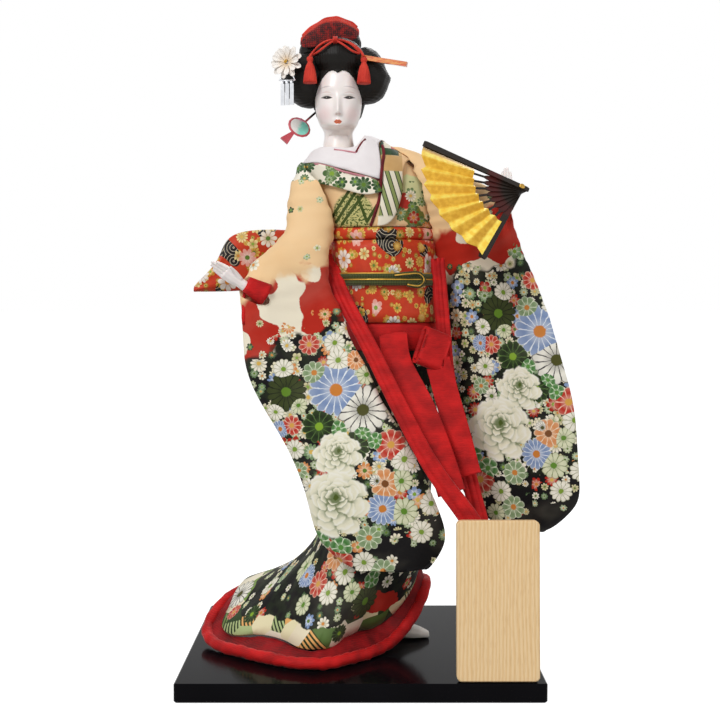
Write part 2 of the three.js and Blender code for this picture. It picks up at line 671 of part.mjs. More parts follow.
// Skirt: level ellipses down to the knees, then a hem that trails to the right and lifts at the left foot
const RIM = new THREE.CatmullRomCurve3([
  [54, 3, 48], [46, 36, 40], [10, 60, 26], [-38, 68, 22], [-76, 58, 30], [-102, 36, 32], [-118, 16, 22],
  [-125, -4, 10], [-115, -28, HEM_ROLL_RADIUS + GAP], [-90, -48, HEM_ROLL_RADIUS + GAP],
  [-60, -69, HEM_ROLL_RADIUS + GAP], [-31, -79, HEM_ROLL_RADIUS + GAP], [-2, -58, HEM_ROLL_RADIUS + GAP],
  [23, -33, HEM_ROLL_RADIUS + GAP + 2], [42, -16, 24],
].map((p) => at(...p)), true, "centripetal");
const SKIRT_AROUND = 30;
const rim = RIM.getSpacedPoints(SKIRT_AROUND).slice(0, SKIRT_AROUND);
const TRAIN_CENTRE = at(-30, 0, 60);
const SKIRT_ROWS = [
  { z: SKIRT_HEIGHT, x: 25, y: 4, rx: 33.4 + SKIRT_STAND, ry: 30 + SKIRT_STAND },
  { z: SKIRT_HEIGHT * 0.8, x: 24, y: 4, rx: 38, ry: 36 },
  { z: SKIRT_HEIGHT * 0.6, x: 20, y: 4, rx: 39, ry: 38 },
  { z: SKIRT_HEIGHT * 0.42, x: 13, y: 3, rx: 42, ry: 40 },
  { z: SKIRT_HEIGHT * 0.3, x: 5, y: 2, rx: 48, ry: 46 },
];

// The printed hem lies inside the rim where the train lies flat, and close above it where the rim is lifted
function hemPoint(edge, i) {
  const inward = TRAIN_CENTRE.clone().sub(edge).setZ(0).normalize();
  const flat = clamp(1.25 - edge.z / 45, 0.15, 1);
  const scallop = HEM_SCALLOP * flat * Math.sin((i / SKIRT_AROUND) * TURN * 5 + 0.6);
  const rise = HEM_RISE * (2 - flat) + scallop * 0.4;
  return edge.clone().addScaledVector(inward, HEM_SETBACK * flat + scallop).add(at(0, 0, rise));
}

// Each column runs down through the level rows to its own point of the hem
const skirtColumns = rim.map((edge, i) => {
  const hem = hemPoint(edge, i);
  const stations = SKIRT_ROWS.map((row, r) => {
    const share = r / (SKIRT_ROWS.length - 1);
    const angle = (i / SKIRT_AROUND) * TURN;
    const fold = 1 + 0.035 * share * Math.sin(angle * 7);
    return at(row.x + row.rx * fold * Math.cos(angle), row.y + row.ry * fold * Math.sin(angle), row.z);
  });
  return new THREE.CatmullRomCurve3([...stations, hem], false, "centripetal");
});
const SKIRT_STEPS = 10;
const skirtOuter = levels(0, 1, SKIRT_STEPS).map((t) => skirtColumns.map((column) => column.getPoint(t)));
const skirtInner = offsetRings(skirtOuter, -CLOTH);
skirtInner[0].forEach((p) => p.setZ(SKIRT_HEIGHT));
const robeTop = offsetRings(skirtOuter, -CLOTH - GAP * 2.5).pop().map((p, i) => p.lerp(rim[i], 0.08));
add(figure, "kimono_skirt", wall(skirtOuter, skirtInner), PRINTED_SILK);

// Red under-robe between the printed hem and the rolled rim, and the rim itself
const ROBE_REACH = HEM_ROLL_RADIUS + 4 * GAP;
const robeEdge = rim.map((edge, i) => {
  const inward = robeTop[i].clone().sub(edge).normalize();
  return edge.clone().addScaledVector(inward, ROBE_REACH);
});
const robe = [robeTop, robeEdge];
add(figure, "under_robe", wall(robe, offsetRings(robe, -CLOTH / 2)), CRIMSON);

const ROLL_SIDES = 6;
const rollRings = rim.map((p, i) => {
  const [before, after] = [rim[(i + SKIRT_AROUND - 1) % SKIRT_AROUND], rim[(i + 1) % SKIRT_AROUND]];
  const along = after.clone().sub(before).normalize();
  const out = along.clone().cross(at(0, 0, 1)).normalize();
  const up = out.clone().cross(along);
  return Array.from({ length: ROLL_SIDES }, (_, s) => {
    const angle = (s / ROLL_SIDES) * TURN;
    return p.clone()
      .addScaledVector(out, HEM_ROLL_RADIUS * Math.cos(angle))
      .addScaledVector(up, HEM_ROLL_RADIUS * Math.sin(angle));
  });
});
add(figure, "hem_roll", skin(rollRings, true), RED_CREPE);

// Cutters for what hangs against the body
const HALF_CORD = OBI_CORD_HEIGHT / 2;
const bodyCutters = [
  layerCutter(SKIRT_HEIGHT, SASH_TOP, SASH_STAND + 0.8, 3),
  layerCutter(SASH_TOP, OBI_TOP, OBI_STAND, 3),
  layerCutter(CORD_LEVEL - HALF_CORD, CORD_LEVEL + HALF_CORD, OBI_STAND + OBI_CORD_STAND + GAP, 3),
  layerCutter(OBI_TOP, SCARF_TOP, SCARF_STAND, 3),
  layerCutter(SCARF_TOP, SHOULDER, LAPEL_OUTSIDE + 1.2, 7),
];

// Ribbons: a flat strip along a path, with its face turned to the viewer and a slow ripple
function ribbon(path, width, thickness, steps, ripple = 0) {
  const curve = curveThrough(path);
  const columns = 4;
  const face = (stand) => levels(0, 1, steps + 1).map((t) => {
    const middle = curve.getPoint(t);
    const along = curve.getTangent(t);
    const across = along.clone().cross(at(0, -1, 0)).normalize();
    const out = across.clone().cross(along).normalize();
    return levels(-0.5, 0.5, columns + 1).map((share) => {
      const wave = ripple * t * Math.sin(share * 7 + t * 9);
      return middle.clone().addScaledVector(across, share * width).addScaledVector(out, stand + wave);
    });
  });
  return sheet(face(0), face(thickness));
}

// Gathered strands: a flattened rope with a few soft lobes, tapered towards its top
function strand(path, width, thickness, steps) {
  const curve = curveThrough(path);
  const sides = 12;
  const rings = Array.from({ length: steps + 1 }, (_, s) => {
    const t = s / steps;
    const middle = curve.getPoint(t);
    const along = curve.getTangent(t);
    const across = along.clone().cross(at(0, -1, 0)).normalize();
    const out = across.clone().cross(along).normalize();
    const size = lerp(0.72, 1.08, t);
    return Array.from({ length: sides }, (_, i) => {
      const angle = (i / sides) * TURN;
      const lobe = 1 + 0.1 * Math.cos(angle * 4 + t * 5);
      return middle.clone()
        .addScaledVector(across, width * size * lobe * Math.cos(angle))
        .addScaledVector(out, thickness * size * lobe * Math.sin(angle));
    });
  });
  return skin(rings);
}

// Sleeves: upright bags, each section a rounded slab from its left end to its right end
function sleeve(stations, rows, folds, around = 16) {
  const last = stations[stations.length - 1].z;
  const rings = levels(stations[0].z, last, rows).map((z) => {
    const row = rowAt(stations, z);
    const left = at(row.lx, row.ly, z);
    const right = at(row.rx, row.ry, z);
    const middle = left.clone().add(right).multiplyScalar(0.5);
    const reach = right.clone().sub(middle);
    const out = at(0, 0, 1).cross(reach).normalize();
    const hang = clamp((stations[0].z - z) / (stations[0].z - last), 0, 1);
    return Array.from({ length: around }, (_, i) => {
      const angle = (i / around) * TURN;
      const [c, s] = [Math.cos(angle), Math.sin(angle)];
      const along = Math.sign(c) * Math.abs(c) ** 0.7;
      const across = Math.sign(s) * Math.abs(s) ** 0.8 * row.half;
      const depth = folds * hang * Math.min(1, row.half / 6, 1.4 - Math.abs(along));
      const wave = depth * Math.sin(along * 5.2 + hang * 2);
      return middle.clone().addScaledVector(reach, along).addScaledVector(out, across + wave);
    });
  });
  return skin(rings);
}

const below = (drop, lx, ly, rx, ry, half) => ({ z: SHOULDER - drop, lx, ly, rx, ry, half });
const rightSleeve = sleeve([
  below(13, -45, 2, -35, 1, 4),
  below(22, -53, -2, -27, -1, 12),
  below(50, -58, -8, -24, -10, 15),
  below(84, -60, -18, -23, -18, 15),
  below(100, -84, -60, -26, -23, 12),
  below(120, -89, -70, -25, -32, 10),
  below(146, -88, -70, -19, -43, 8),
  below(180, -85, -68, 2, -52, 6.5),
  below(222, -64, -66, 29, -56, 6),
  below(262, -43, -65, 50, -58, 6),
  below(303, -33, -64, 66, -59, 5.5),
  below(322, -25, -63, 67, -59, 5),
  below(331, -8, -62, 52, -60, 2.5),
], 16, 2.6);
const leftSleeve = sleeve([
  below(4, 21, 6, 33, 5, 4),
  below(13, 17, 6, 54, 2, 11),
  below(24, 22, 6, 76, -4, 14),
  below(38, 32, 6, 102, -28, 14),
  below(56, 46, 7, 113, -41, 12),
  below(80, 58, 8, 120, -42, 10),
  below(116, 63, 8, 136, -42, 8),
  below(156, 67, 8, 150, -41, 7),
  below(200, 72, 7, 162, -40, 6.5),
  below(250, 77, 6, 168, -38, 6),
  below(284, 81, 6, 170, -38, 6),
  below(300, 92, 2, 164, -35, 5),
  below(309, 112, -8, 146, -26, 2.5),
], 16, 3);

// Hands: a palm with four fingers and a thumb, and a socket for the wire
function handShape(curl) {
  const palmRows = [
    { z: 0, width: WRIST_RADIUS, height: WRIST_RADIUS * 0.9 },
    { z: 0.2, width: WRIST_RADIUS * 1.02, height: WRIST_RADIUS * 0.8 },
    { z: 0.42, width: HAND_WIDTH * 0.47, height: WRIST_RADIUS * 0.75 },
    { z: 0.58, width: HAND_WIDTH * 0.46, height: WRIST_RADIUS * 0.55 },
  ];
  const palm = skin(levels(0, 0.58, 4).map((t) => {
    const row = rowAt(palmRows, t);
    return ellipseRing(0, 0, 0, row.width, row.height, 10).map((p) => at(t * HAND_LENGTH, p.x, p.y));
  }));
  const finger = (from, to, width) => {
    const bend = from.clone().lerp(to, 0.5).add(at(0, 0, curl * 0.5));
    const path = new THREE.QuadraticBezierCurve3(from, bend, to.clone().sub(at(0, 0, curl)));
    return skin([0, 0.5, 0.92].map((t, i) => {
      const radius = width * [1, 0.94, 0.6][i];
      const middle = path.getPoint(t);
      return ellipseRing(0, 0, 0, radius, radius, 6).map((p) => at(middle.x, middle.y + p.x, middle.z + p.y));
    }));
  };
  const spacing = HAND_WIDTH * 0.235;
  const reaches = [0.9, 1, 0.97, 0.86];
  const fingers = reaches.map((reach, i) => {
    const side = (1.5 - i) * spacing;
    return finger(at(HAND_LENGTH * 0.48, side, 0), at(HAND_LENGTH * reach, side * 0.72, 0), spacing * 0.56);
  });
  const thumb = finger(
    at(HAND_LENGTH * 0.2, HAND_WIDTH * 0.24, -0.6),
    at(HAND_LENGTH * 0.62, HAND_WIDTH * 0.62, -2.4), spacing * 0.62);
  return join(palm, thumb, ...fingers);
}

const cuffs = {};
[["right", wireTunnels[0]], ["left", wireTunnels[1]]].forEach(([side, tunnel]) => {
  const hand = HANDS[side];
  add(figure, `hand_${side}`, cut(aimed(handShape(hand.curl), hand.wrist, hand.aim, hand.up), tunnel), SKIN);
  const mouth = ellipsoid(at(0, 0, 0), HAND_LENGTH * 0.7, WRIST_RADIUS * 2, WRIST_RADIUS * 2.4, 0, 12, 6);
  cuffs[side] = aimed(mouth, hand.wrist, hand.aim, hand.up);
});
add(figure, "sleeve_right", cut(rightSleeve, ...bodyCutters, wireTunnels[0], cuffs.right), PRINTED_SILK);
add(figure, "sleeve_left", cut(leftSleeve, ...bodyCutters, wireTunnels[1], cuffs.left), PRINTED_SILK);

// Red waist sash: a loop, two flat tails and two gathered strands
const LOOP_HEIGHT = 30;
const LOOP_DEPTH = 11;
const loopOutline = (grow) => roundedRectangle(LOOP_DEPTH + 2 * grow, LOOP_HEIGHT + 2 * grow, 5 + grow);
function sashLoop(shape, width) {
  const loop = new THREE.ExtrudeGeometry(shape, { depth: width, bevelEnabled: false, curveSegments: 3 });
  loop.translate(0, 0, -width / 2).rotateX(Math.PI / 2).rotateZ(Math.PI / 2);
  return loop.rotateY(radians(20)).rotateZ(radians(22)).translate(55, -37, SKIRT_HEIGHT + 2);
}
const loopShape = loopOutline(0);
loopShape.holes.push(loopOutline(-RIBBON_THICKNESS * 1.4));
const loopCutter = sashLoop(loopOutline(GAP), RIBBON_WIDTH + 2 * GAP);
add(figure, "sash_loop", cut(sashLoop(loopShape, RIBBON_WIDTH), ...bodyCutters), RED_CREPE);
add(figure, "sash_tail_front", cut(ribbon([
  [25, -32.2, SKIRT_HEIGHT + 14], [28, -36, SKIRT_HEIGHT - 8], [45, -47, SKIRT_HEIGHT * 0.83],
  [59, -54, SKIRT_HEIGHT * 0.68], [69, -57, SKIRT_HEIGHT * 0.55],
], RIBBON_WIDTH, RIBBON_THICKNESS, 10, 1.6), ...bodyCutters), RED_CREPE);
add(figure, "sash_tail_side", cut(ribbon([
  [59, -38, SKIRT_HEIGHT - 6], [66, -39, SKIRT_HEIGHT * 0.86], [74, -43, SKIRT_HEIGHT * 0.74],
  [83, -46, SKIRT_HEIGHT * 0.6],
], RIBBON_WIDTH * 0.9, RIBBON_THICKNESS, 8, 1.6), loopCutter), RED_CREPE);
add(figure, "strand_left", cut(strand([
  [-26, -4, OBI_TOP - 12], [-15, -33, OBI_TOP - 42], [6, -50, SASH_TOP - 16], [30, -62, SKIRT_HEIGHT * 0.82],
  [56, -68, SKIRT_HEIGHT * 0.62], [83, -73, SKIRT_HEIGHT * 0.47], [96, -74, SKIRT_HEIGHT * 0.36],
], STRAND_WIDTH, STRAND_THICKNESS, 13), ...bodyCutters), RED_CREPE);
add(figure, "strand_right", cut(strand([
  [60, -20, OBI_TOP - 14], [64, -24, SASH_TOP], [70, -28, SKIRT_HEIGHT * 0.84],
  [82, -34, SKIRT_HEIGHT * 0.62], [93, -40, SKIRT_HEIGHT * 0.43], [98, -42, SKIRT_HEIGHT * 0.34],
], STRAND_WIDTH, STRAND_THICKNESS, 10), loopCutter, ...bodyCutters), RED_CREPE);

// Obi bow at the back: wings that spread from a knot, each with lengthwise pleats and a square end.
// The right wing has a second layer that flares below it
const BOW_LEVEL = SASH_TOP + OBI_HEIGHT * 0.72;
const BOW_MIDDLE = 18;
const BOW_PLEAT = 1.3;
const bowRows = [
  { z: -136, y: 22, low: -22, high: -17, half: 2 },
  { z: -126, y: 23, low: -22, high: -7, half: 4 },
  { z: -116, y: 25, low: -22, high: 4, half: 5.5 },
  { z: -111, y: 25.5, low: -22, high: 22, half: 6 },
  { z: -90, y: 29, low: -21, high: 29, half: 7 },
  { z: -50, y: 39, low: -16, high: 29, half: 7 },
  { z: 0, y: 47, low: -11, high: 17, half: 5 },
  { z: 36, y: 48, low: -11, high: 17, half: 5 },
  { z: 84, y: 54, low: -20, high: 28, half: 7 },
  { z: 114, y: 58, low: -25, high: 30, half: 7 },
  { z: 120, y: 59, low: -24, high: 29, half: 4 },
];
const BOW_STATIONS = [-136, -126, -116, -111, -98, -80, -60, -38, -14, 6, 18, 30, 50, 74, 96, 114, 120];
const bowRing = (grow) => (x) => {
  const row = rowAt(bowRows, x);
  const spread = clamp(Math.abs(x - BOW_MIDDLE) / 50, 0, 1);
  return Array.from({ length: 16 }, (_, i) => {
    const angle = (i / 16) * TURN;
    const rise = Math.sign(Math.sin(angle)) * Math.abs(Math.sin(angle)) ** 0.7;
    const height = lerp(row.low - grow, row.high + grow, 0.5 + rise / 2);
    const pleat = BOW_PLEAT * spread * Math.min(1, row.half / 6) * Math.cos(rise * 7);
    return at(x, row.y + (row.half + grow) * Math.cos(angle) + pleat, BOW_LEVEL + height);
  });
};
add(figure, "obi_bow_wings", cut(skin(BOW_STATIONS.map(bowRing(0))), ...bodyCutters), BROCADE);
const bowKnot = bevelledSlab(30, 46, 21, 5, 3, 1)
  .rotateX(Math.PI / 2).translate(BOW_MIDDLE, 58.5, BOW_LEVEL + 2);
const knotStations = BOW_STATIONS.filter((x) => Math.abs(x - BOW_MIDDLE) < 60);
const wingCutter = skin(knotStations.map(bowRing(GAP * 2)));
add(figure, "obi_bow_knot", cut(bowKnot, wingCutter, ...bodyCutters), BROCADE);

// Head: level sections from the neck peg to the crown, with the features raised from the front
const head = new THREE.Group();
head.position.copy(HEAD);
figure.add(head);
function headRow(z, width, front, back) {
  const half = HEAD_HALF_WIDTH;
  return { z: z * HEAD_HEIGHT, width: width * half, front: front * half, back: back * half };
}
const HEAD_ROWS = [
  headRow(0.012, 0.38, 1.13, 0.4),
  headRow(0.07, 0.62, 1.2, 0.7),
  headRow(0.16, 0.79, 1.215, 0.98),
  headRow(0.26, 0.9, 1.225, 1.16),
  headRow(0.36, 0.955, 1.215, 1.3),
  headRow(0.46, 0.985, 1.19, 1.38),
  headRow(0.57, 1, 1.21, 1.42),
  headRow(0.7, 0.98, 1.16, 1.42),
  headRow(0.82, 0.88, 1.02, 1.32),
  headRow(0.93, 0.66, 0.7, 1.0),
  headRow(0.985, 0.32, 0.32, 0.5),
];
const hill = (x, z, cx, cz, wx, wz) => Math.exp(-(((x - cx) / wx) ** 2) - (((z - cz) / wz) ** 2));

// How far the face stands out from the plain egg at a point seen from the front
function feature(x, z) {
  const [w, h] = [HEAD_HALF_WIDTH, HEAD_HEIGHT];
  const bridge = 1.5 * hill(x, z, 0, h * 0.36, w * 0.1, h * 0.11);
  const tip = 2.6 * hill(x, z, 0, h * 0.262, w * 0.11, h * 0.04);
  const sockets = -0.9 * hill(Math.abs(x), z, w * 0.44, h * 0.45, w * 0.24, h * 0.05);
  const lips = 1.1 * hill(x, z, 0, h * 0.15, w * 0.16, h * 0.03);
  const chin = 0.8 * hill(x, z, 0, h * 0.04, w * 0.2, h * 0.05);
  return bridge + tip + sockets + lips + chin;
}

function headRing(row, grow, features, around) {
  return Array.from({ length: around }, (_, i) => {
    const even = (i / around) * TURN;
    const angle = features ? even - 0.42 * Math.sin(even) : even;
    const x = (row.width + grow) * Math.sin(angle);
    const forward = Math.cos(angle);
    const depth = forward > 0 ? row.front + grow : row.back + grow;
    const raised = features && forward > 0 ? feature(x, row.z) * forward : 0;
    return at(x, -depth * forward - raised, row.z);
  });
}

function headShape(grow, rows, features, around) {
  const low = HEAD_ROWS[0].z;
  const high = HEAD_ROWS[HEAD_ROWS.length - 1].z;
  const rings = levels(low, high, rows).map((z) => headRing(rowAt(HEAD_ROWS, z), grow, features, around));
  rings[rings.length - 1].forEach((p) => p.setZ(high + grow * 2));
  return skin(rings);
}

const neckPeg = moved(cylinder(NECK_RADIUS, NECK_DEPTH + HEAD_HEIGHT * 0.2, 20), 0, 4, 0)
  .translate(0, 0, (HEAD_HEIGHT * 0.2 - NECK_DEPTH) / 2 + GAP);
add(head, "head", join(headShape(0, 18, true, 26), neckPeg), SKIN);

// Wig: a cap, two wings at the sides and a topknot, all hollowed to the head
const headCutter = headShape(1.5, 10, false, 14);
const neckCutter = moved(cylinder(NECK_RADIUS + 1.5, NECK_DEPTH * 2, 14), 0, 4, 0);
const WING_CENTRE = { left: at(24, 4, HEAD_HEIGHT - 12), right: at(-25, 4, HEAD_HEIGHT - 15) };
const TOPKNOT_CENTRE = at(-6.8, 12, HEAD_HEIGHT + 13);
const DOME_CENTRE = at(0, -9, HEAD_HEIGHT - 1);
const wing = (side, grow) =>
  ellipsoid(WING_CENTRE[side], 20 + grow, 20 + grow, 23 + grow, side === "left" ? 0.35 : -0.35, 16, 9);
const topknot = (grow) => ellipsoid(TOPKNOT_CENTRE, 25 + grow, 18 + grow, 20.5 + grow, 0.05, 16, 9);
const pompadour = (grow) => ellipsoid(DOME_CENTRE, 20 + grow, 17 + grow, 15.5 + grow, 0, 16, 8);
const nape = ellipsoid(at(0, 17, HEAD_HEIGHT - 29), 21, 17, 26, 0, 16, 9);

// The opening of the face: sides, and a hairline with a small peak in the middle
const hairline = new THREE.Shape();
const faceHalf = HEAD_HALF_WIDTH * 0.985;
hairline.moveTo(-faceHalf, -20);
hairline.lineTo(-faceHalf, HEAD_HEIGHT * 0.52);
hairline.quadraticCurveTo(-faceHalf * 0.9, HEAD_HEIGHT * 0.78, -faceHalf * 0.4, HEAD_HEIGHT * 0.82);
hairline.quadraticCurveTo(-faceHalf * 0.15, HEAD_HEIGHT * 0.82, 0, HEAD_HEIGHT * 0.78);
hairline.quadraticCurveTo(faceHalf * 0.15, HEAD_HEIGHT * 0.82, faceHalf * 0.4, HEAD_HEIGHT * 0.82);
hairline.quadraticCurveTo(faceHalf * 0.9, HEAD_HEIGHT * 0.78, faceHalf, HEAD_HEIGHT * 0.52);
hairline.lineTo(faceHalf, -20);
const faceOpening = new THREE.ExtrudeGeometry(hairline, { depth: 60, bevelEnabled: false, curveSegments: 5 })
  .rotateX(Math.PI / 2).translate(0, 2, 0);

// Holes for the hairpins, wider than their pins
const PINS = {
  flower: { tip: at(-29, 8, HEAD_HEIGHT - 9), aim: at(0.35, 0.92, -0.1).normalize() },
  disc: { tip: at(-12.3, 25.3, HEAD_HEIGHT - 31.7), aim: at(0.52, 0.62, 0.58).normalize() },
  bar: { tip: at(11.6, -12, HEAD_HEIGHT), aim: at(-0.94, 0.27, 0.2).normalize() },
};
const PIN_HOLE = PIN_RADIUS * 1.8;
function pinHole(pin, half, length) {
  const hole = new THREE.BoxGeometry(length, half * 2, half * 2).translate(GAP * 2 - length / 2, 0, 0);
  return aimed(hole, pin.tip, pin.aim, at(0, 0, 1));
}
const pinHoles = [
  pinHole(PINS.flower, PIN_HOLE, 60),
  pinHole(PINS.disc, PIN_HOLE, 60),
  pinHole(PINS.bar, BAR_WIDTH / 2 + GAP, 60),
];

const topCutter = topknot(GAP);
const wingCutters = [wing("left", GAP), wing("right", GAP)];
add(head, "hair_back", cut(nape, headCutter, neckCutter, topCutter, ...wingCutters, ...pinHoles), HAIR);
const frontCutters = [headCutter, faceOpening, topCutter, ...wingCutters, ...pinHoles];
add(head, "hair_front", cut(pompadour(0), ...frontCutters), HAIR);
add(head, "hair_wing_left", cut(wing("left", 0), headCutter, faceOpening, topCutter, ...pinHoles), HAIR);
add(head, "hair_wing_right", cut(wing("right", 0), headCutter, faceOpening, topCutter, ...pinHoles), HAIR);
add(head, "hair_topknot", cut(topknot(0), headCutter, ...pinHoles), HAIR);

// Red cloth over the front of the topknot
const clothRegion = ellipsoid(at(-6.8, -12, HEAD_HEIGHT + 25), 31, 24, 15, 0, 14, 8);
const clothPiece = overlapOf(topknot(GAP + 1.6), clothRegion);
add(head, "topknot_cloth", cut(clothPiece, topCutter, pompadour(GAP), ...wingCutters), CRIMSON);

// Surface height of an ellipsoid towards -Y, seen from the front
function frontOf(centre, rx, ry, rz, x, z) {
  const rest = 1 - ((x - centre.x) / rx) ** 2 - ((z - centre.z) / rz) ** 2;
  return centre.y - ry * Math.sqrt(Math.max(rest, 0.02));
}
const hairFront = (x, z) => Math.min(
  frontOf(DOME_CENTRE, 20, 17, 15.5, x, z),
  frontOf(WING_CENTRE.left, 20, 20, 23, x, z),
  frontOf(WING_CENTRE.right, 20, 20, 23, x, z),
);

// Cord over the front of the wig: two strands from a bow, with a tassel hung from each
const cordStand = CORD_RADIUS + GAP * 5;
const onHair = (x, z) => [x, hairFront(x, z) - cordStand, z];
const KNOT_HIGH = HEAD_HEIGHT + 10;
const TASSEL_TOP = { right: at(-21.5, 0, HEAD_HEIGHT - 2.5), left: at(20, 0, HEAD_HEIGHT - 3) };
for (const place of Object.values(TASSEL_TOP)) {
  const nearest = levels(place.z - TASSEL_LENGTH, place.z, 5).map((z) => hairFront(place.x, z));
  place.y = Math.min(...nearest) - TASSEL_RADIUS - GAP;
}
const cordPath = curveThrough([
  [TASSEL_TOP.right.x, TASSEL_TOP.right.y, TASSEL_TOP.right.z + 4 * GAP],
  onHair(-18, KNOT_HIGH - 6), onHair(-10, KNOT_HIGH - 1), onHair(-2, KNOT_HIGH), onHair(8, KNOT_HIGH - 1.5),
  onHair(16, KNOT_HIGH - 6),
  [TASSEL_TOP.left.x, TASSEL_TOP.left.y, TASSEL_TOP.left.z + 4 * GAP],
]);
const bowLoop = (side) => new THREE.TorusGeometry(3.6, CORD_RADIUS, 4, 8)
  .scale(1.3, 0.75, 1)
  .rotateX(Math.PI / 2)
  .rotateZ(side * 0.5)
  .translate(side * 5.4 - 2, hairFront(side * 5.4, KNOT_HIGH) - cordStand - CORD_RADIUS, KNOT_HIGH + 0.6);
const bowKnotPlace = at(-2, hairFront(-2, KNOT_HIGH) - cordStand - 0.6, KNOT_HIGH);
add(head, "hair_cord", join(
  tube(cordPath, CORD_RADIUS, 10, 6), bowLoop(-1), bowLoop(1),
  ellipsoid(bowKnotPlace, 3, 2.2, 2.6, 0, 6, 4),
), RED_CREPE);
const tasselProfile = [
  [0, 0], [0.4, 0], [0.46, -0.1], [0.34, -0.18], [0.62, -0.32], [0.92, -0.72], [1, -1], [0, -0.97],
];
for (const [side, place] of Object.entries(TASSEL_TOP)) {
  const points = tasselProfile.map(([r, z]) => new THREE.Vector2(r * TASSEL_RADIUS, z * TASSEL_LENGTH));
  const shape = new THREE.LatheGeometry(points.reverse(), 12).rotateX(Math.PI / 2);
  add(head, `tassel_${side}`, moved(shape, place.x, place.y, place.z), RED_CREPE);
}

// Flower hairpin: two rounds of folded petals on a hub, a pin behind and a rail for the strips below
const PIN_REACH = 29;
const FLOWER = PINS.flower.tip.clone().addScaledVector(PINS.flower.aim, -PIN_REACH);
const FLOWER_SIDE = PINS.flower.aim.clone().cross(at(0, 0, 1)).normalize();
const flowerFrame = new THREE.Matrix4().makeBasis(
  FLOWER_SIDE,
  FLOWER_SIDE.clone().cross(PINS.flower.aim),
  PINS.flower.aim.clone().negate(),
).setPosition(FLOWER);

// Two rounds of pointed petals as one lobed skin, the inner round turned by half a petal
function flowerHead() {
  const around = FLOWER_PETALS * 3;
  const lobe = (i, depth, shift) => 1 - depth * (0.5 - 0.5 * Math.cos(((i / 3 + shift) % 1) * TURN));
  const round = (radius, z, depth, shift) => Array.from({ length: around }, (_, i) => {
    const angle = (i / around) * TURN;
    const reach = radius * FLOWER_RADIUS * lobe(i, depth, shift);
    return at(reach * Math.cos(angle), reach * Math.sin(angle), z);
  });
  return skin([round(0.3, -2.2, 0, 0), round(1, 0.6, 0.42, 0), round(0.94, 2.2, 0.42, 0),
    round(0.5, 0.9, 0.2, 0), round(0.66, 3.4, 0.5, 0.5), round(0.16, 2.6, 0, 0)]);
}

const RAIL_RADIUS = 0.7;
const RAIL_DROP = FLOWER_RADIUS * 1.02;
const stripPitch = STRIP_WIDTH + 2 * GAP;
const rail = cylinder(RAIL_RADIUS, 3 * stripPitch + 2, 8).rotateY(Math.PI / 2).translate(0, -RAIL_DROP, -1.6);
const railArms = [-1, 1].map((side) => new THREE.BoxGeometry(1, RAIL_DROP, 1)
  .translate(side * (1.5 * stripPitch + 0.5), -RAIL_DROP / 2, -1.6));
const railBridge = new THREE.BoxGeometry(3 * stripPitch + 2, 1, 1).translate(0, -0.4, -1.7);
const flowerPin = cylinder(PIN_RADIUS, PIN_REACH, 8).translate(0, 0, -PIN_REACH / 2);
const flowerWhole = join(flowerHead(), flowerPin, rail, railBridge, ...railArms);
add(head, "flower_hairpin", flowerWhole.applyMatrix4(flowerFrame), PETAL_SILK);

// Silver strips: each hangs from the rail by an eye
const eyeShape = new THREE.Shape().absarc(0, 0, RAIL_RADIUS + GAP + 0.7, 0, TURN);
eyeShape.holes.push(new THREE.Path().absarc(0, 0, RAIL_RADIUS + GAP, 0, TURN));
for (let i = 0; i < 3; i++) {
  const eyeDepth = STRIP_WIDTH * 0.6;
  const eye = new THREE.ExtrudeGeometry(eyeShape, { depth: eyeDepth, bevelEnabled: false, curveSegments: 4 })
    .translate(0, 0, -eyeDepth / 2).rotateY(Math.PI / 2);
  const top = RAIL_RADIUS + GAP + 0.4;
  const plate = new THREE.BoxGeometry(STRIP_WIDTH, STRIP_THICKNESS, STRIP_LENGTH - top)
    .translate(0, 0, -(STRIP_LENGTH + top) / 2);
  const place = at((i - 1) * stripPitch, -RAIL_DROP, -1.6).applyMatrix4(flowerFrame);
  const strip = aimed(join(eye, plate), place, FLOWER_SIDE, at(0, 0, 1));
  add(head, `flower_strip_${i + 1}`, strip, SILVER);
}

// Disc hairpin: a pin that carries a pearl disc in a rim and ends in a flared tail
const DISC_REACH = 36;
const discRim = new THREE.TorusGeometry(DISC_RADIUS, 1, 4, 14);
const discFace = cylinder(DISC_RADIUS, DISC_THICKNESS * 0.7, 14);
const tailShape = new THREE.Shape(
  [[0, -1.2], [0, 1.2], [-13, 3.6], [-13, -3.6]].map((p) => new THREE.Vector2(...p)));
const tail = new THREE.ExtrudeGeometry(tailShape, { depth: DISC_THICKNESS, bevelEnabled: false })
  .translate(-DISC_RADIUS, 0, -DISC_THICKNESS / 2);
const discPin = cylinder(PIN_RADIUS, DISC_REACH, 8).rotateY(Math.PI / 2).translate(DISC_REACH / 2, 0, 0);
const discPlace = PINS.disc.tip.clone().addScaledVector(PINS.disc.aim, -DISC_REACH);
add(head, "disc_hairpin",
  aimed(join(discRim, discFace, tail, discPin), discPlace, PINS.disc.aim, at(0, -1, 0)), PEARL);

// Bar hairpin: a square lacquered bar
const bar = new THREE.BoxGeometry(BAR_LENGTH, BAR_WIDTH, BAR_WIDTH).translate(-BAR_LENGTH / 2, 0, 0);
add(head, "bar_hairpin", aimed(bar, PINS.bar.tip, PINS.bar.aim, at(0, 0, 1)), ORANGE_LACQUER);

// Folding fan: two guards and the ribs between them turn on one rivet, each in its own layer
const fan = new THREE.Group();
fan.matrix.makeBasis(FAN_TOP, FAN_DOWN, FAN_FACE).setPosition(FAN_PIVOT);
fan.matrix.decompose(fan.position, fan.quaternion, fan.scale);
figure.add(fan);
const FAN_STEP = FAN_SPREAD / (FAN_RIBS + 1);
const layerOf = (i) => ((FAN_RIBS + 1) / 2 - i) * FAN_LAYER;

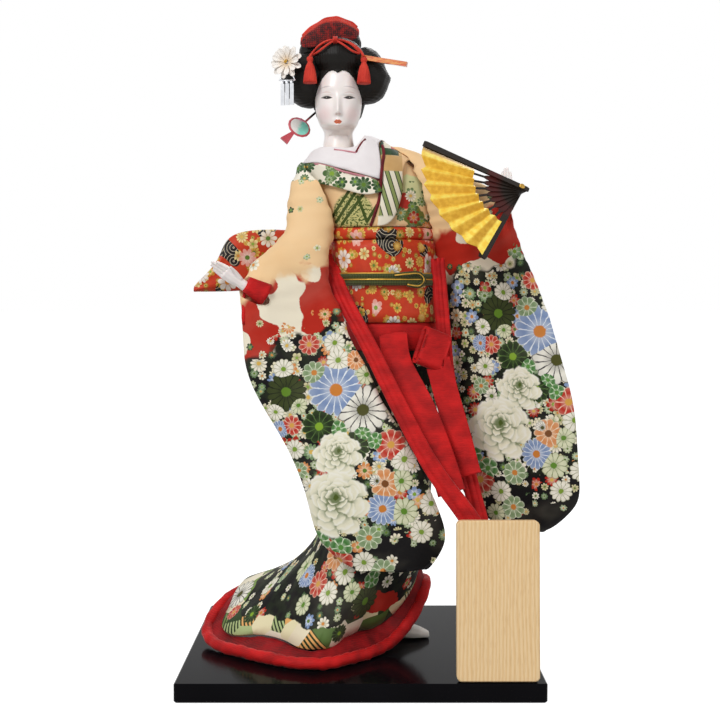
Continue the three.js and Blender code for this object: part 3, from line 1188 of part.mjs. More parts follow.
// One stick, from its tail behind the rivet to its tip, as pairs of distance and half width
function stick(outline, thickness, level, angle) {
  const shape = new THREE.Shape();
  const upper = outline.map(([x, half]) => new THREE.Vector2(x, half));
  const lower = outline.map(([x, half]) => new THREE.Vector2(x, -half)).reverse();
  shape.setFromPoints([...upper, ...lower]);
  shape.holes.push(new THREE.Path().absarc(0, 0, RIVET_RADIUS * 1.05 + 0.08, 0, TURN));
  return new THREE.ExtrudeGeometry(shape, { depth: thickness, bevelEnabled: false, curveSegments: 6 })
    .translate(0, 0, level - thickness / 2).rotateZ(radians(angle));
}

const GUARD_OUTLINE = [[-6, 1.4], [-4, 2.3], [6, 2.4], [FAN_LENGTH * 0.5, GUARD_WIDTH * 0.42],
  [FAN_LENGTH - 1, GUARD_WIDTH / 2], [FAN_LENGTH + 1, GUARD_WIDTH * 0.38]];
const RIB_OUTLINE = [[-5, 1.2], [-3.5, 2.1], [5, 2.2], [FAN_LENGTH * 0.3, 2.7], [FAN_LENGTH * 0.34, 2.2],
  [FAN_LENGTH * 0.37, 0.9], [FAN_LENGTH - 2, 0.8]];
const guardShift = (GUARD_THICKNESS - RIB_THICKNESS) / 2;
add(fan, "fan_guard_front", stick(GUARD_OUTLINE, GUARD_THICKNESS, layerOf(0) + guardShift, 0), BLACK_BAMBOO);
for (let i = 1; i <= FAN_RIBS; i++) {
  add(fan, `fan_rib_${i}`, stick(RIB_OUTLINE, RIB_THICKNESS, layerOf(i), i * FAN_STEP), BLACK_BAMBOO);
}
add(fan, "fan_guard_rear",
  stick(GUARD_OUTLINE, GUARD_THICKNESS, layerOf(FAN_RIBS + 1) - guardShift, FAN_SPREAD), BLACK_BAMBOO);

// Leaf: a ridge over each rib, a valley between, and its ends glued to the guards
const ridge = (i) => layerOf(i) + RIB_THICKNESS / 2 + GAP + PLEAT_DEPTH * 0.3;
const creases = [[0.4, layerOf(0) - GUARD_THICKNESS - 1.4]];
for (let i = 1; i <= FAN_RIBS; i++) {
  creases.push([i * FAN_STEP, ridge(i)]);
  if (i < FAN_RIBS) creases.push([(i + 0.5) * FAN_STEP, ridge(i + 0.5) - PLEAT_DEPTH]);
}
creases.push([FAN_SPREAD - 0.4, layerOf(FAN_RIBS + 1) + GUARD_THICKNESS / 2 + GAP - guardShift + 0.1]);
const leafFace = (stand) => creases.map(([angle, level]) => {
  const across = at(Math.cos(radians(angle)), Math.sin(radians(angle)), 0);
  return [LEAF_INNER, FAN_LENGTH].map((r) => across.clone().multiplyScalar(r).setZ(level + stand));
});
add(fan, "fan_leaf", sheet(leafFace(0), leafFace(LEAF_THICKNESS)), GOLD_PAPER);

const rivetProfile = [[0, -RIVET_END], [RIVET_HEAD_RADIUS, -RIVET_END], [RIVET_HEAD_RADIUS, -STACK - GAP],
  [RIVET_RADIUS, -STACK - GAP], [RIVET_RADIUS, STACK + GAP], [RIVET_HEAD_RADIUS, STACK + GAP],
  [RIVET_HEAD_RADIUS * 0.7, RIVET_END], [0, RIVET_END]];
const rivet = new THREE.LatheGeometry(rivetProfile.map((p) => new THREE.Vector2(...p)), 12)
  .rotateX(Math.PI / 2);
add(fan, "fan_rivet", rivet, BRASS);

export default doll;
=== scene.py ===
"""Looks of the dancing doll: its cloth, wig, face, fan and lacquer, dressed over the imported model."""
import json
import math

import bmesh
import bpy
import numpy as np
from mathutils import Matrix, Vector
from mathutils.bvhtree import BVHTree


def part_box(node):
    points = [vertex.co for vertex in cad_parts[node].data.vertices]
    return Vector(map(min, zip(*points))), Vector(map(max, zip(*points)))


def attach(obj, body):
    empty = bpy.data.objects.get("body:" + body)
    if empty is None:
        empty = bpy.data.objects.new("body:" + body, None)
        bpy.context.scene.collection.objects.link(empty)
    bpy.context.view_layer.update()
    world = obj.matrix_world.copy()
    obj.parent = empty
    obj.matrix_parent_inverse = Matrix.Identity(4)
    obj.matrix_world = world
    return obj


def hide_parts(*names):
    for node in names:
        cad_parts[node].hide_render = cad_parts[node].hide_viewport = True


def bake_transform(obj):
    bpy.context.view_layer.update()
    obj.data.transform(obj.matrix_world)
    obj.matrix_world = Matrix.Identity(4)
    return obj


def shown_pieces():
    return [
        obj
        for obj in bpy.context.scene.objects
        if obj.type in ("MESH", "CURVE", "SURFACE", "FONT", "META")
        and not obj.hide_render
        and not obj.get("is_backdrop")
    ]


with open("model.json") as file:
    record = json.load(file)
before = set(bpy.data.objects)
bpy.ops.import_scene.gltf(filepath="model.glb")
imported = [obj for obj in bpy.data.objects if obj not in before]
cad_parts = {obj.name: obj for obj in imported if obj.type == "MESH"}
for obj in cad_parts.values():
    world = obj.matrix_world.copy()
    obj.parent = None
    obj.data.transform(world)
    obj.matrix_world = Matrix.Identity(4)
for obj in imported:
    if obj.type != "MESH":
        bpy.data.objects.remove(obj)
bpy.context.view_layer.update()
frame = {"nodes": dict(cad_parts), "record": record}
NODES = frame["nodes"]
JOINTS = {joint["name"]: joint for joint in frame["record"]["behaviour"]["joints"]}
MM = 0.001
TURN = 2 * math.pi
UP = Vector((0, 0, 1))
SCENE = bpy.context.scene


def add_object(name, data):
    made = bpy.data.objects.new(name, data)
    SCENE.collection.objects.link(made)
    return made


# Camera: the photograph's place, pitch and focal length

IMAGE_SIZE = 720
FOCAL_PIXELS = 1172.4
CAMERA_PLACE = Vector((-0.4, -937.0, 292.9))
CAMERA_PITCH = math.radians(3.136)

camera_data = bpy.data.cameras.new("camera")
camera_data.sensor_width = 36.0
camera_data.lens = camera_data.sensor_width * FOCAL_PIXELS / IMAGE_SIZE
camera_data.clip_end = 50.0
camera = add_object("camera", camera_data)
camera.location = CAMERA_PLACE * MM
camera.rotation_euler = (math.pi / 2 - CAMERA_PITCH, 0.0, 0.0)
SCENE.camera = camera
SCENE.view_settings.view_transform = "Standard"


def sight(x, y):
    """The direction in which the camera sees a pixel of the photograph."""
    half = IMAGE_SIZE / 2
    ray = Vector(((x - half) / FOCAL_PIXELS, 1.0, (half - y) / FOCAL_PIXELS))
    ray.rotate(Matrix.Rotation(-CAMERA_PITCH, 3, "X"))
    return ray.normalized()


# Meshes

RIM_ANGLE = math.radians(70)


def merged(*nodes):
    """One bmesh of some CAD nodes: corners merged, quads where triangles pair up, and creased rims."""
    bm = bmesh.new()
    for node in nodes:
        bm.from_mesh(NODES[node].data)
    bmesh.ops.remove_doubles(bm, verts=bm.verts, dist=2e-5)
    bmesh.ops.join_triangles(bm, faces=bm.faces, angle_face_threshold=1.0, angle_shape_threshold=1.6)
    crease = bm.edges.layers.float.new("crease_edge")
    for edge in bm.edges:
        if len(edge.link_faces) == 2 and edge.calc_face_angle() > RIM_ANGLE:
            edge[crease] = 1.0
    return bm


def grid(rows, closed=False):
    """A bmesh skin over rows of points in millimetres; closed rows make a capped tube."""
    bm = bmesh.new()
    corners = [[bm.verts.new(Vector(point) * MM) for point in row] for row in rows]
    count = len(corners[0])
    for low, high in zip(corners, corners[1:]):
        for i in range(count if closed else count - 1):
            j = (i + 1) % count
            bm.faces.new((low[i], low[j], high[j], high[i]))
    if closed:
        bm.faces.new(corners[0][::-1])
        bm.faces.new(corners[-1])
    bmesh.ops.recalc_face_normals(bm, faces=bm.faces)
    return bm


def joined(*parts):
    """Several bmeshes as one."""
    whole = bmesh.new()
    for part in parts:
        mesh = bpy.data.meshes.new("part")
        part.to_mesh(mesh)
        part.free()
        whole.from_mesh(mesh)
        bpy.data.meshes.remove(mesh)
    return whole


def tube(path, radius, sides=10):
    """A round tube along points in millimetres; radius is a number or a function of the way's share."""
    points = [Vector(point) for point in path]
    last = len(points) - 1
    normal = None
    rows = []
    for i, point in enumerate(points):
        along = (points[min(i + 1, last)] - points[max(i - 1, 0)]).normalized()
        if normal is None:
            normal = along.orthogonal().normalized()
        normal = (normal - along * normal.dot(along)).normalized()
        side = along.cross(normal)
        size = radius(i / last) if callable(radius) else radius
        turns = [TURN * k / sides for k in range(sides)]
        rows.append([point + (normal * math.cos(t) + side * math.sin(t)) * size for t in turns])
    return grid(rows, closed=True)


def curve_through(points, steps=6):
    """Points on a smooth curve through some points."""
    stops = [Vector(point) for point in points]
    ends = [stops[0] * 2 - stops[1]] + stops + [stops[-1] * 2 - stops[-2]]
    way = []
    for a, b, c, d in zip(ends, ends[1:], ends[2:], ends[3:]):
        for k in range(steps):
            t = k / steps
            way.append(0.5 * (2 * b + (c - a) * t + (2 * a - 5 * b + 4 * c - d) * t ** 2
                              + (3 * b - a - 3 * c + d) * t ** 3))
    return way + [stops[-1]]


def mesh_object(name, bm, material=None):
    mesh = bpy.data.meshes.new(name)
    bm.to_mesh(mesh)
    bm.free()
    if material:
        mesh.materials.append(material)
    return add_object(name, mesh)


def add_piece(name, bm, body, material=None, nodes=()):
    """A new smooth-shaded piece that rides on a body and stands for some CAD nodes."""
    piece = mesh_object(name, bm, material)
    piece.data.shade_smooth()
    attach(piece, body)
    if nodes:
        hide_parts(*nodes)
    return piece


def dressed(node, material=None, levels=0, body="figure"):
    """A piece in the place of the CAD node of its name, subdivided some times."""
    piece = add_piece(node, merged(node), body, material, [node])
    if levels:
        modify(piece, "SUBSURF", levels=levels)
        bake(piece)
    return piece


def modify(piece, kind, **settings):
    modifier = piece.modifiers.new(kind.lower(), kind)
    for key, value in settings.items():
        setattr(modifier, key, value)


def bake(piece):
    """Turns the piece's modifiers into its mesh."""
    graph = bpy.context.evaluated_depsgraph_get()
    mesh = bpy.data.meshes.new_from_object(piece.evaluated_get(graph))
    piece.modifiers.clear()
    piece.data = mesh
    mesh.shade_smooth()


def remesh(piece, voxel, rounds):
    """Melts the piece into one even skin and smooths it."""
    modify(piece, "REMESH", mode="VOXEL", voxel_size=voxel * MM)
    modify(piece, "SMOOTH", factor=0.5, iterations=rounds)
    bake(piece)


def thicken(piece, thickness):
    modify(piece, "SOLIDIFY", thickness=thickness * MM, offset=0.0)
    bake(piece)


def as_sheet(piece, width):
    """Works out the cut length of a cloth of a width in millimetres from the area of one side; the result is
    not kept.
    """
    one_side = sum(polygon.area for polygon in piece.data.polygons) / 2
    width * MM
    one_side / (width * MM)


def numbers(collection, key):
    flat = np.empty(len(collection) * 3, dtype=np.float32)
    collection.foreach_get(key, flat)
    return flat.reshape(-1, 3).astype(float)


def points_of(piece):
    """The piece's points in millimetres."""
    return numbers(piece.data.vertices, "co") / MM


def normals_of(piece):
    return numbers(piece.data.vertex_normals, "vector")


def reshape(piece, change):
    """Moves the piece's points to change(points), in millimetres."""
    moved = change(points_of(piece))
    piece.data.vertices.foreach_set("co", (moved * MM).astype(np.float32).ravel())
    piece.data.update()


def relax(piece, chosen, rounds):
    """Smooths the points for which chosen(point) is true."""
    bm = bmesh.new()
    bm.from_mesh(piece.data)
    soft = [corner for corner in bm.verts if chosen(corner.co / MM)]
    for _ in range(rounds):
        bmesh.ops.smooth_vert(bm, verts=soft, factor=0.5, use_axis_x=True, use_axis_y=True, use_axis_z=True)
    bm.to_mesh(piece.data)
    bm.free()


def swell(piece, amount):
    """Moves each point along its normal by amount(points), in millimetres."""
    normals = normals_of(piece)
    reshape(piece, lambda points: points + normals * amount(points)[:, None])


def note(piece, name, *columns):
    """Keeps a vector for each point, which the piece's material reads."""
    layer = piece.data.attributes.new(name, "FLOAT_VECTOR", "POINT")
    layer.data.foreach_set("vector", np.column_stack(columns).astype(np.float32).ravel())


def flat_cloth(piece, across=(1, 0, 0), up=(0, 0, 1)):
    """Notes each point's place on flat cloth, and its height."""
    points = points_of(piece)
    note(piece, "cloth", points @ np.array(across), points @ np.array(up), points[:, 2])


def wound_cloth(piece):
    """Notes each point's place on cloth wound round the body."""
    points = points_of(piece)
    angle = np.arctan2(points[:, 0] - BODY_CENTRE[0], BODY_CENTRE[1] - points[:, 1])
    note(piece, "cloth", angle * BODY_RADIUS, points[:, 2], points[:, 2])


def ripple(points, wavelength, seed, stretch=(1, 1, 1)):
    """Smooth seeded unevenness from about -1 to 1, made of a few crossing waves."""
    source = np.random.default_rng(seed)
    total = np.zeros(len(points))
    for _ in range(6):
        aim = source.normal(size=3)
        aim *= TURN / (wavelength * source.uniform(0.7, 1.5) * np.linalg.norm(aim))
        total += np.sin(points @ (aim * np.array(stretch)) + source.uniform(0, TURN))
    return total / 3.0


def hill(values, centre, width):
    return np.exp(-((values - centre) / width) ** 2)


def step(values, low, high):
    share = np.clip((values - low) / (high - low), 0, 1)
    return share * share * (3 - 2 * share)


def node_box(node):
    """A node's lowest and highest corners in millimetres."""
    return [Vector(corner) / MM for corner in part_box(node)]


def node_middle(node):
    low, high = node_box(node)
    return (low + high) / 2


def skin_of(*pieces):
    """A tree of some pieces' faces, to find points on them, in metres."""
    bm = bmesh.new()
    for piece in pieces:
        bm.from_mesh(piece.data)
    tree = BVHTree.FromBMesh(bm)
    bm.free()
    return tree


def seen_at(tree, x, y):
    """The point that the camera sees at a pixel, in millimetres."""
    eye = CAMERA_PLACE * MM
    hit = tree.ray_cast(eye, sight(x, y))[0]
    if hit is None:
        depth = tree.find_nearest(eye)[3]
        hit = tree.find_nearest(eye + sight(x, y) * depth)[0]
    return hit / MM


def front_at(tree, x, z, stand):
    """A point in front of a skin, at a distance off it, in millimetres."""
    hit = tree.ray_cast(Vector((x, -300.0, z)) * MM, Vector((0, 1, 0)))[0] / MM
    return hit - Vector((0, stand, 0))


# Node trees

def tint(code):
    """A colour written as six hex digits, in linear light."""
    parts = [int(code[i:i + 2], 16) / 255 for i in (0, 2, 4)]
    return tuple(c / 12.92 if c <= 0.04045 else ((c + 0.055) / 1.055) ** 2.4 for c in parts) + (1.0,)


class Wire:
    """A number, vector or colour that a node gives, with arithmetic."""

    def __init__(self, nodes, socket):
        self.nodes = nodes
        self.socket = socket

    def math(self, operation, *values):
        return self.nodes.add("Math", (self, *values), operation=operation)

    def vector(self, operation, *values, output=0):
        return self.nodes.add("VectorMath", (self, *values), operation=operation, output=output)

    def either(self, operation, other):
        return self.math(operation, other) if self.socket.type == "VALUE" else self.vector(operation, other)

    def __add__(self, other):
        return self.either("ADD", other)

    def __sub__(self, other):
        return self.either("SUBTRACT", other)

    def __rsub__(self, other):
        return self * -1.0 + other

    def __mul__(self, other):
        return self.either("MULTIPLY", other)

    def __truediv__(self, other):
        return self.math("DIVIDE", other)

    def __abs__(self):
        return self.math("ABSOLUTE")

    def wave(self, length):
        """A sine of that wavelength."""
        return (self * (TURN / length)).math("SINE")

    def length(self):
        return self.vector("LENGTH", output=1)

    def far(self, point):
        """The distance from a point."""
        return self.vector("DISTANCE", point, output=1)

    def flat(self):
        return self * (1.0, 1.0, 0.0)

    def split(self):
        return self.nodes.add("SeparateXYZ", (self,), output=(0, 1, 2))

    def slope(self, low, high, start=0.0, end=1.0):
        """A smooth change from start to end as the number goes from low to high."""
        return self.nodes.add("MapRange", (self, low, high, start, end), interpolation_type="SMOOTHSTEP")

    def mix(self, first, second):
        """Goes from the first colour to the second as the number goes from 0 to 1."""
        return self.nodes.add("Mix", {0: self, 6: first, 7: second}, output=2, data_type="RGBA")

    def mix_vector(self, first, second):
        return self.nodes.add("Mix", {0: self, 4: first, 5: second}, output=1, data_type="VECTOR")

    def noise(self, size, detail=2.0, output=0):
        inputs = {"Vector": self, "Scale": 1 / size, "Detail": detail}
        return self.nodes.add("TexNoise", inputs, output=output)

    def cells(self, size, randomness):
        """A flat cell texture: the distance from the cell's point, its colour and its position."""
        inputs = {"Vector": self, "Scale": 1 / size, "Randomness": randomness}
        outputs = ("Distance", "Color", "Position")
        return self.nodes.add("TexVoronoi", inputs, output=outputs, voronoi_dimensions="2D")

    def pick(self, colours):
        """One of some colours, by a number from 0 to 1."""
        made = self.nodes.add("ValToRGB", (self,))
        ramp = made.socket.node.color_ramp
        ramp.interpolation = "CONSTANT"
        while len(ramp.elements) < len(colours):
            ramp.elements.new(1.0)
        for i, colour in enumerate(colours):
            ramp.elements[i].position = i / len(colours)
            ramp.elements[i].color = tint(colour)
        return made


class Nodes:
    """Adds nodes to a tree."""

    def __init__(self, tree):
        self.tree = tree

    def put(self, socket, value):
        """Gives a socket a wire, a number, a vector or a colour's six hex digits."""
        if isinstance(value, Wire):
            self.tree.links.new(value.socket, socket)
        else:
            socket.default_value = tint(value) if isinstance(value, str) else value

    def add(self, kind, inputs=(), output=0, **settings):
        """The wire of a new node's output, or a list of wires where several outputs are named."""
        made = self.tree.nodes.new("ShaderNode" + kind)
        for key, value in settings.items():
            setattr(made, key, value)
        for key, value in inputs.items() if isinstance(inputs, dict) else enumerate(inputs):
            self.put(made.inputs[key], value)
        if isinstance(output, tuple):
            return [Wire(self, made.outputs[key]) for key in output]
        return Wire(self, made.outputs[output])


class Paint(Nodes):
    """Builds one material; values that are the same all over are set on the shader's sockets."""

    def __init__(self, name, roughness=0.6, **fixed):
        self.material = bpy.data.materials.new(name)
        self.material.use_nodes = True
        super().__init__(self.material.node_tree)
        self.shader = self.tree.nodes["Principled BSDF"].inputs
        self.shader["Roughness"].default_value = roughness
        for socket, value in fixed.items():
            self.shader[socket.replace("_", " ")].default_value = value

    def attribute(self, name):
        return self.add("Attribute", attribute_name=name, output=1)

    def place(self):
        """The point on the object, in millimetres, which stays with the piece as it moves."""
        return self.add("TexCoord", output=3) * (1000.0, 1000.0, 1000.0)

    def rough(self, value):
        self.put(self.shader["Roughness"], value)

    def bump(self, height, strength, distance):
        """Adds a relief; distance is in millimetres."""
        normal = self.shader["Normal"]
        values = {"Strength": strength, "Distance": distance * MM, "Height": height}
        if normal.is_linked:
            values["Normal"] = Wire(self, normal.links[0].from_socket)
        self.put(normal, self.add("Bump", values))

    def weave(self, place, pitch, strength=0.35):
        """Warp and weft threads with a slub, as a fine bump."""
        x, y, _ = place.split()
        self.bump(x.wave(pitch) * y.wave(pitch) + place.noise(pitch * 2.5), strength, 0.12)

    def crepe(self, place, size, strength):
        """The pebbled face of crepe silk."""
        self.bump(place.noise(size, 3.0), strength, 0.25)

    def done(self, colour):
        self.put(self.shader["Base Color"], colour)
        return self.material


# Plain finishes

# Metals: metallic share, dark and light colours, size of their patches,
# gloss (size, detail, range and least roughness) and relief (size, strength and depth)
METALS = {
    "steel": (1.0, "7f8286", "a9abad", 8.0, (3.0, 4.0, 0.3, 0.22), None),
    "brass": (1.0, "8f6a26", "d2ab58", 2.0, (1.0, 3.0, 0.35, 0.15), None),
    "silver_strip": (1.0, "c9ccd2", "eff0f2", 6.0, (2.5, 3.0, 0.25, 0.08), (4.0, 0.15, 0.3)),
    "gold_thread": (0.7, "b07c1e", "e9c25c", 2.0, (1.5, 2.0, 0.3, 0.25), (0.5, 0.5, 0.15)),
}


def metal(kind, name=None):
    metallic, dark, light, patch, (size, detail, spread, least), relief = METALS[kind]
    paint = Paint(name or kind, Metallic=metallic)
    place = paint.place()
    paint.rough(place.noise(size, detail) * spread + least)
    if relief:
        grain, strength, distance = relief
        paint.bump(place.noise(grain), strength, distance)
    return paint.done(place.noise(patch).mix(dark, light))


def lacquer():
    paint = Paint("black_lacquer", Specular_IOR_Level=0.025)
    place = paint.place()
    haze = place.noise(60.0, 4.0)
    dust = place.noise(1.2).slope(0.62, 0.8)
    paint.rough(haze * 0.1 + 0.07)
    paint.bump(place.noise(25.0), 0.08, 0.4)
    return paint.done((dust * 0.06).mix(haze.mix("060607", "111014"), "6a6660"))


def pale_wood():
    paint = Paint("pale_wood")
    place = paint.place()
    drift = (place * (1.0, 1.0, 0.12)).noise(14.0, 3.0)
    rings = (place.split()[0] + drift * 7.0).wave(2.856)
    fibre = (place * (1.0, 1.0, 0.03)).noise(0.7)
    paint.rough(fibre * 0.2 + 0.42)
    paint.bump(fibre, 0.25, 0.2)
    grain = rings.slope(-0.6, 1.0).mix("efd0a0", "e8c28c")
    return paint.done(fibre.slope(0.45, 0.75, 0.0, 0.4).mix(grain, "d2a670"))


def turned_wood():
    paint = Paint("turned_wood")
    fibre = (paint.place() * (1.0, 1.0, 0.05)).noise(0.8, 3.0)
    paint.bump(fibre, 0.3, 0.2)
    return paint.done(fibre.mix("c79f6a", "8c653b"))


def black_bamboo(pivot):
    """Dark sticks, with red-brown shoulders near the rivet."""
    paint = Paint("black_bamboo", 0.45, Specular_IOR_Level=0.2)
    place = paint.place()
    fibre = (place * (0.2, 1.0, 1.0)).noise(0.8, 3.0)
    reach = place.far(tuple(pivot))
    shoulder = reach.slope(14.0, 22.0) * reach.slope(30.0, 26.0)
    paint.bump(fibre, 0.25, 0.1)
    return paint.done((shoulder * 0.75).mix(fibre.mix("0d0a08", "2a2018"), "4a1412"))


def orange_lacquer():
    paint = Paint("orange_lacquer", 0.3, Coat_Weight=0.4, Coat_Roughness=0.12)
    place = paint.place()
    streak = (place * (0.12, 1.0, 1.0)).noise(1.2, 3.0)
    paint.bump(streak, 0.15, 0.1)
    colour = streak.slope(0.35, 0.65).mix("d2521f", "e79a4c")
    return paint.done(place.split()[0].slope(28.0, 36.0, 0.0, 0.5).mix(colour, "c93f1a"))


def pearl_disc(centre):
    """A disc of pearl white and mint with a pink cap and a red rim, on a red handle."""
    paint = Paint("pearl_disc", Coat_Weight=0.3, Coat_Roughness=0.1)
    place = paint.place()
    offset = place - tuple(centre)
    x, _, z = offset.split()
    across = x - z * 0.35 + (place.noise(3.0) * 5.0 - 2.5)
    pearl = across.slope(-1.5, 2.0).mix("f6f3ee", "8fe6d2")
    pearl = (z + x * 0.4).slope(5.4, 6.4).mix(pearl, "f0a8c2")
    colour = offset.length().slope(7.5, 7.9).mix(pearl, "c8505a")
    paint.bump(place.noise(4.0), 0.1, 0.2)
    paint.rough(place.noise(2.0) * 0.2 + 0.15)
    return paint.done(z.slope(7.5, 9.5).mix(colour, "3a1a12"))


def gold_paper():
    """Gold foil on paper; the third noted number is the side of the pleat, from -1 to 1, by which each facet
    is painted as lit or as shaded gold: painted light and shade.
    """
    paint = Paint("gold_paper", Metallic=0.2, Specular_IOR_Level=0.3)
    place = paint.attribute("cloth")
    flake = place.noise(3.5, 4.0)
    fibre = place.noise(0.6)
    paint.bump(fibre, 0.2, 0.1)
    paint.rough(flake * 0.3 + 0.32)
    patch = flake.slope(0.35, 0.7)
    # Painted light and shade: facets on one side of each pleat get lit gold, those on the other side shaded
    # gold
    side = place.split()[2].slope(-0.8, 0.8)
    colour = side.mix(patch.mix("cc961e", "e2b238"), patch.mix("fbd044", "ffec70"))
    return paint.done(fibre.slope(0.55, 0.8, 0.0, 0.2).mix(colour, "c58a1c"))


def plain_cloth(name, light, dark, pitch, sheen):
    paint = Paint(name, 0.78, Sheen_Weight=sheen, Sheen_Roughness=0.4)
    place = paint.place()
    paint.weave(place, pitch)
    return paint.done(place.noise(12.0, 4.0).mix(dark, light))


def crepe_silk(name, light, dark):
    """Crepe silk with a fine rib across the cloth, whose place is noted on the piece."""
    paint = Paint(name, 0.66, Sheen_Weight=0.1, Sheen_Roughness=0.35, Specular_IOR_Level=0.22)
    place = paint.attribute("cloth")
    ribs = (place.split()[1] + place.noise(4.0) * 1.6).wave(1.1)
    paint.bump(ribs, 0.3, 0.14)
    paint.crepe(place, 0.7, 0.35)
    # Random tone, with the rib valleys a little darker as painted shade
    shade = place.noise(16.0, 3.0) + ribs * 0.06
    return paint.done(shade.slope(0.25, 0.75).mix(dark, light))


def petal_silk():
    """White silk petals; the noted place is (reach from the root, side, lift)."""
    paint = Paint("petal_silk", 0.7, Sheen_Weight=0.15, Sheen_Roughness=0.4)
    place = paint.attribute("cloth")
    reach, side, _ = place.split()
    paint.bump((place * (0.2, 1.0, 1.0)).noise(0.4), 0.3, 0.1)
    white = reach.slope(1.0, 9.0).mix("e2c9a8", "f7f1ea")
    return paint.done(abs(side).slope(0.9, 2.4, 0.0, 0.35).mix(white, "ead9d4"))


def dappled_cloth():
    """Dappled maroon cloth with a bright red border; the noted place is (x, z, drop below the outline)."""
    paint = Paint("kanoko", 0.7, Sheen_Weight=0.2, Sheen_Roughness=0.4, Specular_IOR_Level=0.2)
    place = paint.attribute("cloth")
    flat = place.flat()
    dots = flat.cells(1.7, 0.3)[0]
    paint.bump(dots.slope(0.5, 0.1), 0.6, 0.4)
    dapple = flat.noise(4.0, 3.0) + dots.slope(0.45, 0.15, 0.0, 0.18)
    dark = dapple.slope(0.4, 0.8).mix("2c0708", "8e1a16")
    red = flat.noise(5.0).mix("b92417", "d63a22")
    return paint.done(place.split()[2].slope(3.0, 6.0).mix(red, dark))


def braid():
    """Olive braid; the noted place runs along the cord and up it."""
    paint = Paint("olive_braid", Sheen_Weight=0.15, Specular_IOR_Level=0.25)
    x, y, _ = paint.attribute("cloth").split()
    plait = (x + y).wave(2.6) * (x - y).wave(2.6)
    paint.bump(plait, 0.6, 0.35)
    # The colour follows the plait's relief: the low places between the strands are painted dark, as painted
    # shade
    return paint.done(plait.slope(-0.5, 0.6).mix("171b08", "525a22"))


def hair():
    """Combed strands, along the lines noted on the wig."""
    paint = Paint("wig_hair", Specular_IOR_Level=0.16)
    comb = paint.attribute("comb")
    fine = (comb * (1.0, 0.03, 0.03)).noise(0.35)
    paint.bump((comb * (1.0, 0.06, 0.06)).noise(0.9, 3.0), 0.35, 0.3)
    paint.bump(fine, 0.4, 0.12)
    paint.rough(fine * 0.3 + 0.34)
    return paint.done(fine.mix("040303", "15110c"))


LIPS_HEIGHT = 8.9


def skin():
    """White shell lacquer, with painted eyes, brows, lips and a faint blush, a painted highlight in each eye
    and painted shade under the nose.
    """
    paint = Paint("doll_skin", 0.34, Coat_Weight=0.25, Coat_Roughness=0.25, Subsurface_Weight=0.06,
                  Subsurface_Radius=(0.004, 0.002, 0.0012), Subsurface_Scale=0.5)
    place = paint.attribute("face")
    x, y, front = place.split()
    forward = front.slope(0.15, 0.4)
    side = abs(x)
    flat = paint.add("CombineXYZ", (side, y, 0.0))

    def almond(centre_x, centre_y, half, rise, sag, tilt):
        """How far a point lies inside an almond; rise and sag are its upper and lower arcs."""
        across = (side - centre_x) / half
        arch = 1.0 - across.math("POWER", 2.0)
        height = y - (across * tilt + centre_y)
        return (arch * rise - height).math("MINIMUM", arch * sag + height)

    mouth = almond(0.0, LIPS_HEIGHT, 3.3, 1.75, 2.2, 0.0) - side.slope(1.1, 0.0) * 0.5
    features = {
        "blush": (flat.far((11.5, 15.0, 0.0)).slope(10.0, 1.0, 0.0, 0.3), "eeb4b4"),
        "lid": (almond(8.9, 30.4, 5.6, 2.0, -1.0, 0.5).slope(-0.1, 0.4, 0.0, 0.5), "cfa89e"),
        "lashes": (almond(8.8, 27.5, 5.2, 1.7, 0.7, 0.5).slope(0.0, 0.3, 0.0, 0.8), "3c2c28"),
        "eye": (almond(8.3, 27.5, 3.9, 1.65, 1.0, 0.3).slope(0.0, 0.25), "0b0807"),
        # A painted highlight in each eye
        "painted_highlight": (flat.far((8.9, 28.1, 0.0)).slope(0.42, 0.25, 0.0, 0.8), "cfc4bc"),
        "brow": (almond(9.4, 35.0, 5.8, 1.6, -0.3, -0.5).slope(-0.2, 0.5, 0.0, 0.4), "847a78"),
        # Painted shade under the nose
        "painted_shade_under_nose": (flat.far((1.3, 14.4, 0.0)).slope(1.2, 0.4, 0.0, 0.35), "b08a80"),
        "lips": (mouth.slope(-0.1, 0.4), "d4622f"),
        "parting": (abs(y - LIPS_HEIGHT).slope(0.4, 0.1) * mouth.slope(0.1, 0.5), "8e2c18"),
    }
    tone = place.noise(18.0).mix("f2e8e4", "f7efeb")
    for mask, colour in features.values():
        tone = (mask * forward).mix(tone, colour)
    paint.bump(place.noise(3.0, 3.0), 0.05, 0.2)
    return paint.done(tone)


# Printed silk

PEACH = "efc490"
CREAM = "f6ecd4"
CLOUD_RED = "b9291a"
NIGHT = "070506"
HEARTS = ("86a83e", "d48a3c", "5f7d2e", "dcb458")
# Small blossoms: petal and line colours
PALE_BLOSSOMS = (("efe8d0", "9d9a6c"), ("a3b088", "eceedb"), ("ebe3c4", "8f9066"), ("5f7a52", "c9d4b2"),
                 ("f3eddb", "a8a67c"), ("bcc298", "f1efdc"), ("d8cfa2", "86824f"), ("33492c", "8da27a"))
MIXED_BLOSSOMS = (("f2ebd8", "a39f76"), ("b82a1c", "eecfb6"), ("efe6cc", "7e885a"), ("d98c50", "f3ddbd"),
                  ("748f62", "dfe7cb"), ("f5efdf", "9c9c84"), ("a92619", "e8c0a6"), ("8298be", "eceff2"))
LEAVES = (("4d6b3c", "a9bb8c"), ("2f4a2c", "7c9468"), ("6d8a58", "d5deba"), ("3c5a38", "8fa67e"))
GOLD_BLOSSOMS = (("c98f2c", "f2d78e"), ("e0b552", "8c5a14"), ("a8711c", "ecc873"), ("ecd795", "a3741f"))
PLUMS = (("f4ece2", "b89a8c"), ("f6efe4", "5c4436"), ("e8a595", "f4d9ce"), ("f1e6d6", "b98a4a"))
